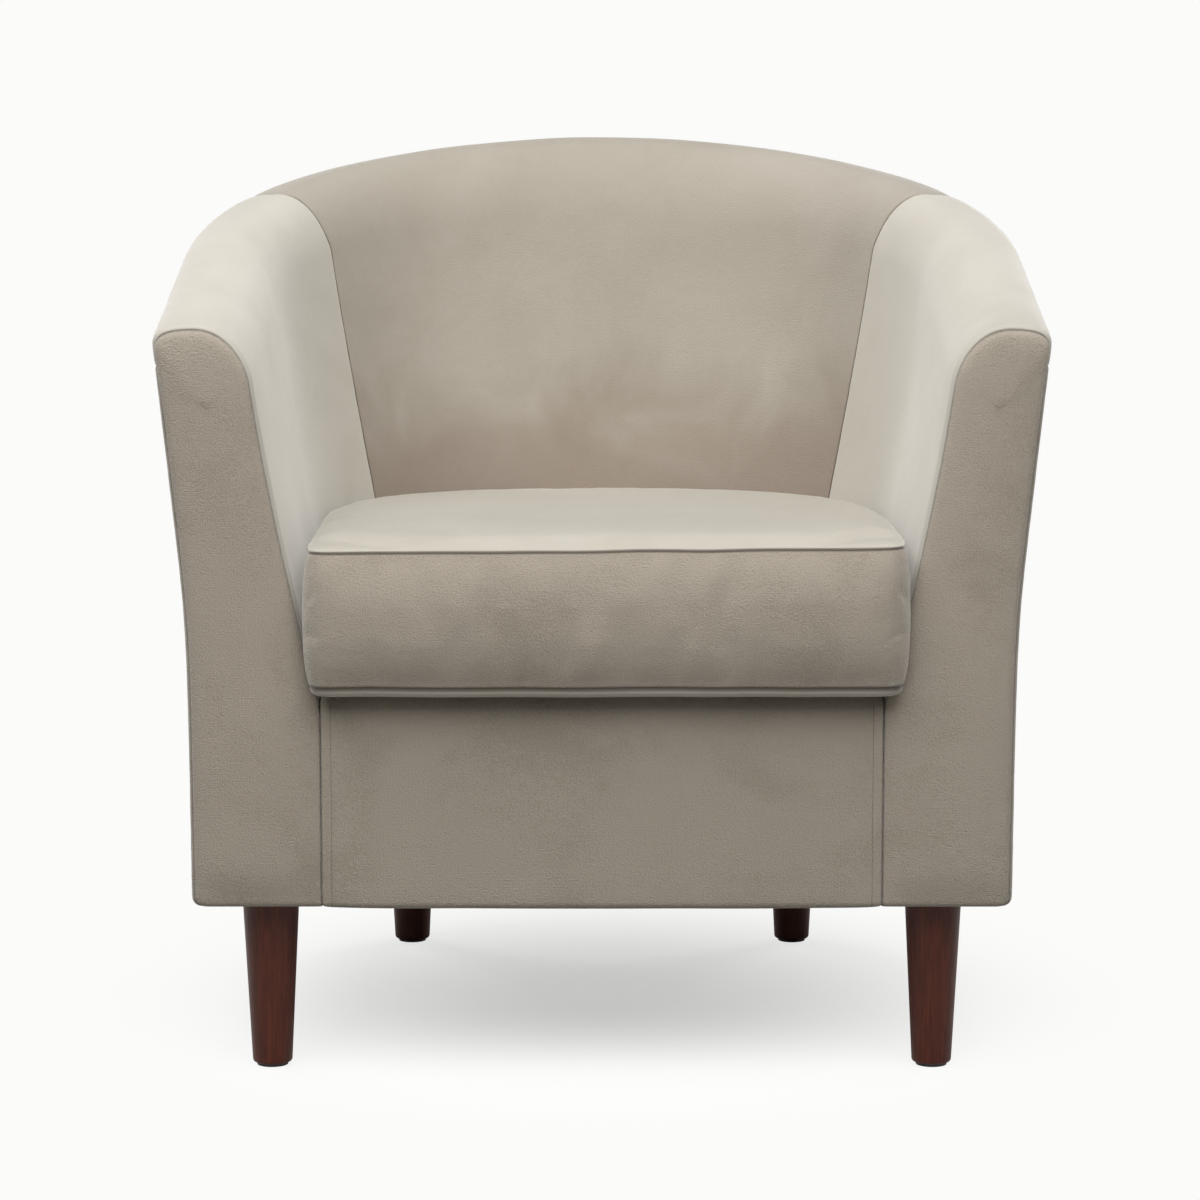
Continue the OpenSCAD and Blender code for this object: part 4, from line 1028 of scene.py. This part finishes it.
def cushionBox():
    c = cushion
    shares = [mix(-frontCorner, frontCorner, f) for f in frontSteps]
    shares += [mix(frontCorner, backCorner, f) for f in sideSteps[1:]]
    shares += [mix(backCorner, 2 - backCorner, f) for f in frontSteps[1:]]
    shares += [mix(2 - backCorner, 2 - frontCorner, f) for f in sideSteps[1:]]
    tall = c["seamHigh"] - c["seamLow"]
    middle = tall / 2
    band = [middle + side * d * mm for side in (-1, 1) for d in (5.0, 11.5, 13.0, 16.0, 19.0)]
    ends = [0.0] + rowsAtSeam + [d * mm for d in (9.5, 17.0, 25.0, 32.0)]
    heights = sorted(set(round(h, 6) for h in ends + band + [middle] + [tall - d for d in ends]))
    bm = bmesh.new()
    table = gridTable(bm, shares, heights)
    for (i, j), vertex in table.items():
        z = c["seamLow"] + heights[j]
        share = shares[i] if shares[i] <= 1 else shares[i] - 2
        p = cushionRim(share, z)
        vertex.co = Vector((p.x, p.y, z))
    return bm


def joinedCushion():
    c = cushion
    whole = bmesh.new()
    whole.verts.layers.float.new("seam")
    for part in (cushionPanel(c["seamHigh"], c["crown"]), cushionPanel(c["seamLow"], 0.0), cushionBox()):
        mesh = meshFrom("cushionPart", part)
        whole.from_mesh(mesh)
        bpy.data.meshes.remove(mesh)
    bmesh.ops.remove_doubles(whole, verts=whole.verts[:], dist=0.15 * mm)
    bmesh.ops.recalc_face_normals(whole, faces=whole.faces[:])
    return whole


def inZipBand(p):
    turn = math.degrees(math.atan2(abs(p.x), p.y - cushion["zipCentre"]))
    middle = (cushion["seamLow"] + cushion["seamHigh"]) / 2
    return turn < cushion["zipAngle"] + 1 and abs(p.z - middle) < cushion["zipHalf"] and p.y > 0


def fillCushion(bm):
    # the case is pressed out from inside, while its seams, the zip band and the backs of the ears hold still
    c = cushion
    bm.verts.ensure_lookup_table()
    start = [v.co.copy() for v in bm.verts]
    held = []
    for v in bm.verts:
        onSeam = min(abs(v.co.z - c["seamLow"]), abs(v.co.z - c["seamHigh"])) < 0.02 * mm
        besideArm = abs(v.co.x) > filling["earHalf"] and abs(v.co.y - frontY) < filling["earReach"]
        if onSeam or inZipBand(v.co) or (besideArm and c["seamLow"] - mm < v.co.z < c["seamHigh"] + mm):
            held.append(v.index)
    mesh = bpy.data.meshes.new("cushionCase")
    bm.to_mesh(mesh)
    case = addObject("cushionCase", mesh)
    group = case.vertex_groups.new(name="held")
    group.add(held, 1.0, "REPLACE")
    sim = case.modifiers.new("filling", "CLOTH")
    for key, value in fillingCloth.items():
        setattr(sim.settings, key, value)
    sim.settings.effector_weights.gravity = 0.0
    sim.collision_settings.use_collision = False
    sim.point_cache.frame_start = 1
    sim.point_cache.frame_end = filling["frames"]
    scene = bpy.context.scene
    for step in range(1, filling["frames"] + 1):
        scene.frame_set(step)
    shape = case.evaluated_get(bpy.context.evaluated_depsgraph_get()).to_mesh()
    moves = [shape.vertices[i].co - start[i] for i in range(len(start))]
    bpy.data.objects.remove(case)
    scene.frame_set(1)
    longest = max(m.length for m in moves)
    print("cushion filled, furthest move", round(longest / mm, 1), "mm before its limit")
    for v, move in zip(bm.verts, moves):
        inTub = c["seamLow"] + mm < v.co.z < c["seamHigh"] - mm and v.co.y > frontY
        limit = filling["tubMove"] if inTub else filling["mostMove"]
        if move.length > limit:
            move = move * (limit / move.length)
        v.co = start[v.index] + move


def sewCushion(bm, start):
    # rolls the panels over their seams, swells the box between them and sets the zip band back
    c = cushion
    lines = KDTree(1600)
    outward = []
    for row, z in enumerate((c["seamLow"], c["seamHigh"])):
        for k in range(800):
            share = k / 400 if k <= 400 else k / 400 - 2
            p = cushionRim(share, z)
            lines.insert(Vector((p.x, p.y, z)), row * 800 + k)
            along = cushionRim(share + 0.006, z) - cushionRim(share - 0.006, z)
            outward.append(Vector((along.y, -along.x, 0)).normalized())
    lines.balance()
    dark = bm.verts.layers.float["seam"]
    slope = (tub["backWall"] - tub["rimWall"]) / (backZ - deckZ)
    middle = (c["seamLow"] + c["seamHigh"]) / 2
    tall = c["seamHigh"] - c["seamLow"]
    for v, before in zip(bm.verts, start):
        near, index, _ = lines.find(before)
        out = outward[index]
        d = math.hypot((before - near).dot(out), before.z - near.z)  # distance from the nearer seam
        # painted shade beside the cushion's seams
        v[dark] = seamShade(d)
        under = before.z < c["seamLow"] + 0.01 * mm
        v.co = before.lerp(v.co, 0.0 if under else smooth(d / filling["seamFade"]))
        onBox = d < 0.1 * mm or c["seamLow"] + 0.01 * mm < before.z < c["seamHigh"] - 0.01 * mm
        wave = noise.noise(before / c["waveSize"] + Vector((3.1, 8.4, 0.6))) * c["wave"]
        wave *= 1 - math.exp(-d / c["waveFade"])
        groove = c["seamDeep"] * math.exp(-((d / c["seamWide"]) ** 2))
        inFront = smooth((frontY - 1 * mm - before.y) / (5 * mm))
        if onBox:
            h = abs(2 * (before.z - middle) / tall)
            swell = c["swell"] * (1 - h ** c["swellPower"]) * inFront
            v.co += out * (swell + wave * inFront - groove)
        else:
            side = 1 if before.z > middle else -1
            wide, high = (c["rollWide"], c["rollHigh"]) if side > 0 else (c["rollWideLow"], c["rollLow"])
            t = min(d / wide, 1.0)
            roll = high * math.sqrt(1 - (1 - t) ** 2)
            v.co += Vector((0, 0, side)) * (roll + wave) - out * groove
            v.co += out * (c["ridge"] * math.exp(-(((d - c["ridgeAt"]) / c["ridgeWide"]) ** 2)))
        v.co.z += noise.noise(near / c["wanderSize"]) * c["wander"] * math.exp(-d / c["wanderReach"])
        if inZipBand(before):
            r = c["zipRound"] - c["zipSink"] + slope * (before.z - middle)
            turn = math.atan2(before.x, before.y - c["zipCentre"])
            v.co = Vector((r * math.sin(turn), c["zipCentre"] + r * math.cos(turn), before.z))
        towardsFront = smooth((c["leanFrom"] - before.y) / c["leanRun"])
        towardsBack = smooth((before.y - c["dropFrom"]) / c["dropRun"])
        v.co.z += c["lean"] * smooth((before.x / c["earHalf"] + 1) / 2) * towardsFront \
            * smooth((before.z - middle) / tall + 0.5)
        v.co.x += c["shift"] * towardsFront
        v.co.z -= c["backDrop"] * towardsBack * smooth((before.z - middle) / (tall / 2))


def makeCushion():
    bm = joinedCushion()
    start = [v.co.copy() for v in bm.verts]
    fillCushion(bm)
    sewCushion(bm, start)
    uv = bm.loops.layers.uv.new("cloth")
    for face in bm.faces:
        flat = abs(face.normal.z) > 0.6
        for loop in face.loops:
            p = loop.vert.co
            loop[uv].uv = (p.x, p.y) if flat else (p.x + p.y, p.z)
        face.material_index = 1 if abs(face.normal.z) > 0.7 else 0  # the top and bottom panels take the lighter copy: painted light
    piece = finishPiece("seatCushion", bm, velvet, "cushion",
                        ("cushion_top_panel", "cushion_bottom_panel", "cushion_boxing", "cushion_zip_boxing",
                         "cushion_foam"), 0.0)
    piece.data.materials.append(topVelvet)
    fine = piece.modifiers.new("fine", "SUBSURF")
    fine.levels = fine.render_levels = 1


makeCushion()
print("cushion made")

# linings
lining = {
    "thick": 1.0 * mm,
    "dustIn": 17 * mm,
    "dustSag": 2.0 * mm,
    "deckRise": 0.6 * mm,
    "frontGap": 0.4 * mm,
}


def liningGrid(rows, z, sag, up):
    # rows are half widths and depths of the plan, from the front to the back
    us = [i / 16 - 1 for i in range(33)]
    last = len(rows) - 1

    def place(u, k):
        x, y = rows[k]
        return Vector((u * x, y, z - sag * (1 - u * u) * math.sin(math.pi * k / last)))

    return clothGrid(us, list(range(len(rows))), place, {}, 0.0, False, lambda p: Vector((0, 0, up)))


def flatArea(rows):
    return sum((a[0] + b[0]) * abs(b[1] - a[1]) for a, b in zip(rows, rows[1:]))


def makeLining(name, rows, z, sag, up, node):
    piece = finishPiece(name, liningGrid(rows, z, sag, up), blackLining, "chair", (node,),
                        lining["thick"])
    flatArea(rows)


def makeLinings():
    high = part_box("dust_cover")[1]
    shares = [mix(1 - lining["dustIn"] / tub["armRun"] * tub["armShare"], 0.03, i / 40) for i in range(41)]
    rows = [tuple(outerFace(s, baseZ, lining["dustIn"])) for s in shares]
    rows.append((rows[-1][0] * 0.5, high.y))
    makeLining("dustCover", rows, high.z, lining["dustSag"], -1, "dust_cover")
    low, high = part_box("deck_cover")
    rows = [tuple(innerFace(1 - i / 60 * 0.97, deckZ, -0.8 * mm)) for i in range(61)]
    rows = [r for r in rows if r[1] > low.y + 2 * mm]
    rows.insert(0, (rows[0][0], low.y + lining["frontGap"]))
    makeLining("deckCover", rows, high.z + lining["deckRise"], 0.0, 1, "deck_cover")


makeLinings()
print("linings made")

# every node of the frame takes the material of its slot
slotMaterials = {
    "velvet": velvet,
    "foam": foam,
    "seat_foam": foam,
    "black_lining": blackLining,
    "webbing": webbing,
    "plywood": birchPly,
    "hardwood": beech,
    "leg_wood": espresso,
    "steel": steel,
    "glide_nylon": nylon,
    "zip_tape": zipCloth,
    "zip_metal": zipMetal,
}
for part in frame["record"]["subparts"]:
    node = nodes[part["node"]]
    node.data.materials.clear()
    node.data.materials.append(slotMaterials[part["material_slot"]])
print("frame materials set")

# stage
stage = {
    "floorSize": 24.0,
    "floorDrop": 0.5 * mm,
    "floorTones": ("#f2f1ef", "#f6f5f3"),
    "bounceTone": "#8c8b8a",  # the paper throws back no more light than this, as if half in shade
    "shadowShare": 0.53,  # how far the paper is washed out under the chair
    "shadowNear": 0.05,  # its shading fades out between these distances, in metres
    "shadowFar": 0.52,
    "backTone": "#fbfbfa",
    "skyTone": "#fdfcfa",
    "skyLight": 0.08,
    "aim": (0.0, 0.0, 0.4),
}
lights = {  # watts, width and place in metres, and the two rear ones hardly touch the front
    "topLight": (131, 3.6, (-0.37, -1.3, 2.6)),
    "fillLight": (18, 1.8, (1.3, -2.0, 2.2)),
    "rearLightRight": (30, 1.6, (1.9, 2.0, 1.0)),
    "rearLightLeft": (30, 1.6, (-1.9, 2.0, 1.0)),
}
view = {
    "lens": 113.7,
    "shift": -2 / 1200,
    "place": (0.0, -3.395, 0.795),
    "tilt": 82.7,  # degrees up from straight down
}


def floorMaterial():
    # pale studio paper: matt near the chair, running out into the plain background for the camera
    material = bpy.data.materials.new("studioPaper")
    material.use_nodes = True
    tree = material.node_tree
    tree.nodes.remove(tree.nodes["Principled BSDF"])
    place = addNode(tree, "TexCoord")
    grain = addNode(tree, "TexNoise", {"Scale": 60.0, "Detail": 2.0}, {"Vector": place.outputs["Object"]})
    ramp = addNode(tree, "ValToRGB", {"stops": list(zip((0.3, 0.7), stage["floorTones"]))}, {"Fac": grain})
    seen = addNode(tree, "LightPath")
    either = addNode(tree, "Math", {"operation": "ADD", "use_clamp": True},
                     {0: seen.outputs["Is Camera Ray"], 1: seen.outputs["Is Glossy Ray"]})
    tone = addNode(tree, "Mix", {"data_type": "RGBA", 6: hexColour(stage["bounceTone"])},
                   {0: either, 7: ramp})
    paper = addNode(tree, "BsdfDiffuse", links={"Color": tone.outputs[2]})
    plain = addNode(tree, "Emission", {"Color": hexColour(stage["backTone"])})
    away = addNode(tree, "VectorMath", {"operation": "LENGTH"}, {0: place.outputs["Object"]})
    fade = addNode(tree, "MapRange", {
        "interpolation_type": "SMOOTHSTEP", "From Min": stage["shadowNear"], "From Max": stage["shadowFar"],
        "To Min": stage["shadowShare"]},
        {"Value": away.outputs["Value"]})
    both = addNode(tree, "Math", {"operation": "MULTIPLY"}, {0: fade, 1: seen.outputs["Is Camera Ray"]})
    blend = addNode(tree, "MixShader", links={"Fac": both, 1: paper, 2: plain})
    plug(tree, tree.nodes["Material Output"], {"Surface": blend})
    return material


def makeFloor():
    bm = bmesh.new()
    bmesh.ops.create_grid(bm, x_segments=1, y_segments=1, size=stage["floorSize"] / 2)
    floor = addObject("floor", meshFrom("floor", bm))
    floor.location.z = -stage["floorDrop"]
    floor.data.materials.append(floorMaterial())
    return floor


def softLight(name):
    power, size, place = lights[name]
    data = bpy.data.lights.new(name, "AREA")
    data.shape = "DISK"
    data.size = size
    data.energy = power
    light = addObject(name, data)
    light.location = place
    light.rotation_euler = (Vector(stage["aim"]) - Vector(place)).to_track_quat("-Z", "Y").to_euler()
    return light


def makeWorld():
    world = bpy.data.worlds.new("studio")
    world.use_nodes = True
    tree = world.node_tree
    light = tree.nodes["Background"]
    light.inputs["Color"].default_value = hexColour(stage["skyTone"])
    light.inputs["Strength"].default_value = stage["skyLight"]
    plain = addNode(tree, "Background", {"Color": hexColour(stage["backTone"]), "Strength": 1.0})
    seen = addNode(tree, "LightPath")
    either = addNode(tree, "Math", {"operation": "ADD", "use_clamp": True},
                     {0: seen.outputs["Is Camera Ray"], 1: seen.outputs["Is Transmission Ray"]})
    blend = addNode(tree, "MixShader", links={"Fac": either, 1: light, 2: plain})
    plug(tree, tree.nodes["World Output"], {"Surface": blend})
    bpy.context.scene.world = world


def makeCamera():
    data = bpy.data.cameras.new("camera")
    data.sensor_width = 36.0
    data.lens = view["lens"]
    data.shift_x = view["shift"]
    data.clip_start = 0.05
    camera = addObject("camera", data)
    camera.location = view["place"]
    camera.rotation_euler = (math.radians(view["tilt"]), 0.0, 0.0)
    bpy.context.scene.camera = camera
    return camera


makeWorld()
makeFloor()
makeCamera()
[softLight(name) for name in lights]
bpy.context.scene.view_settings.view_transform = "Standard"
print("stage made")
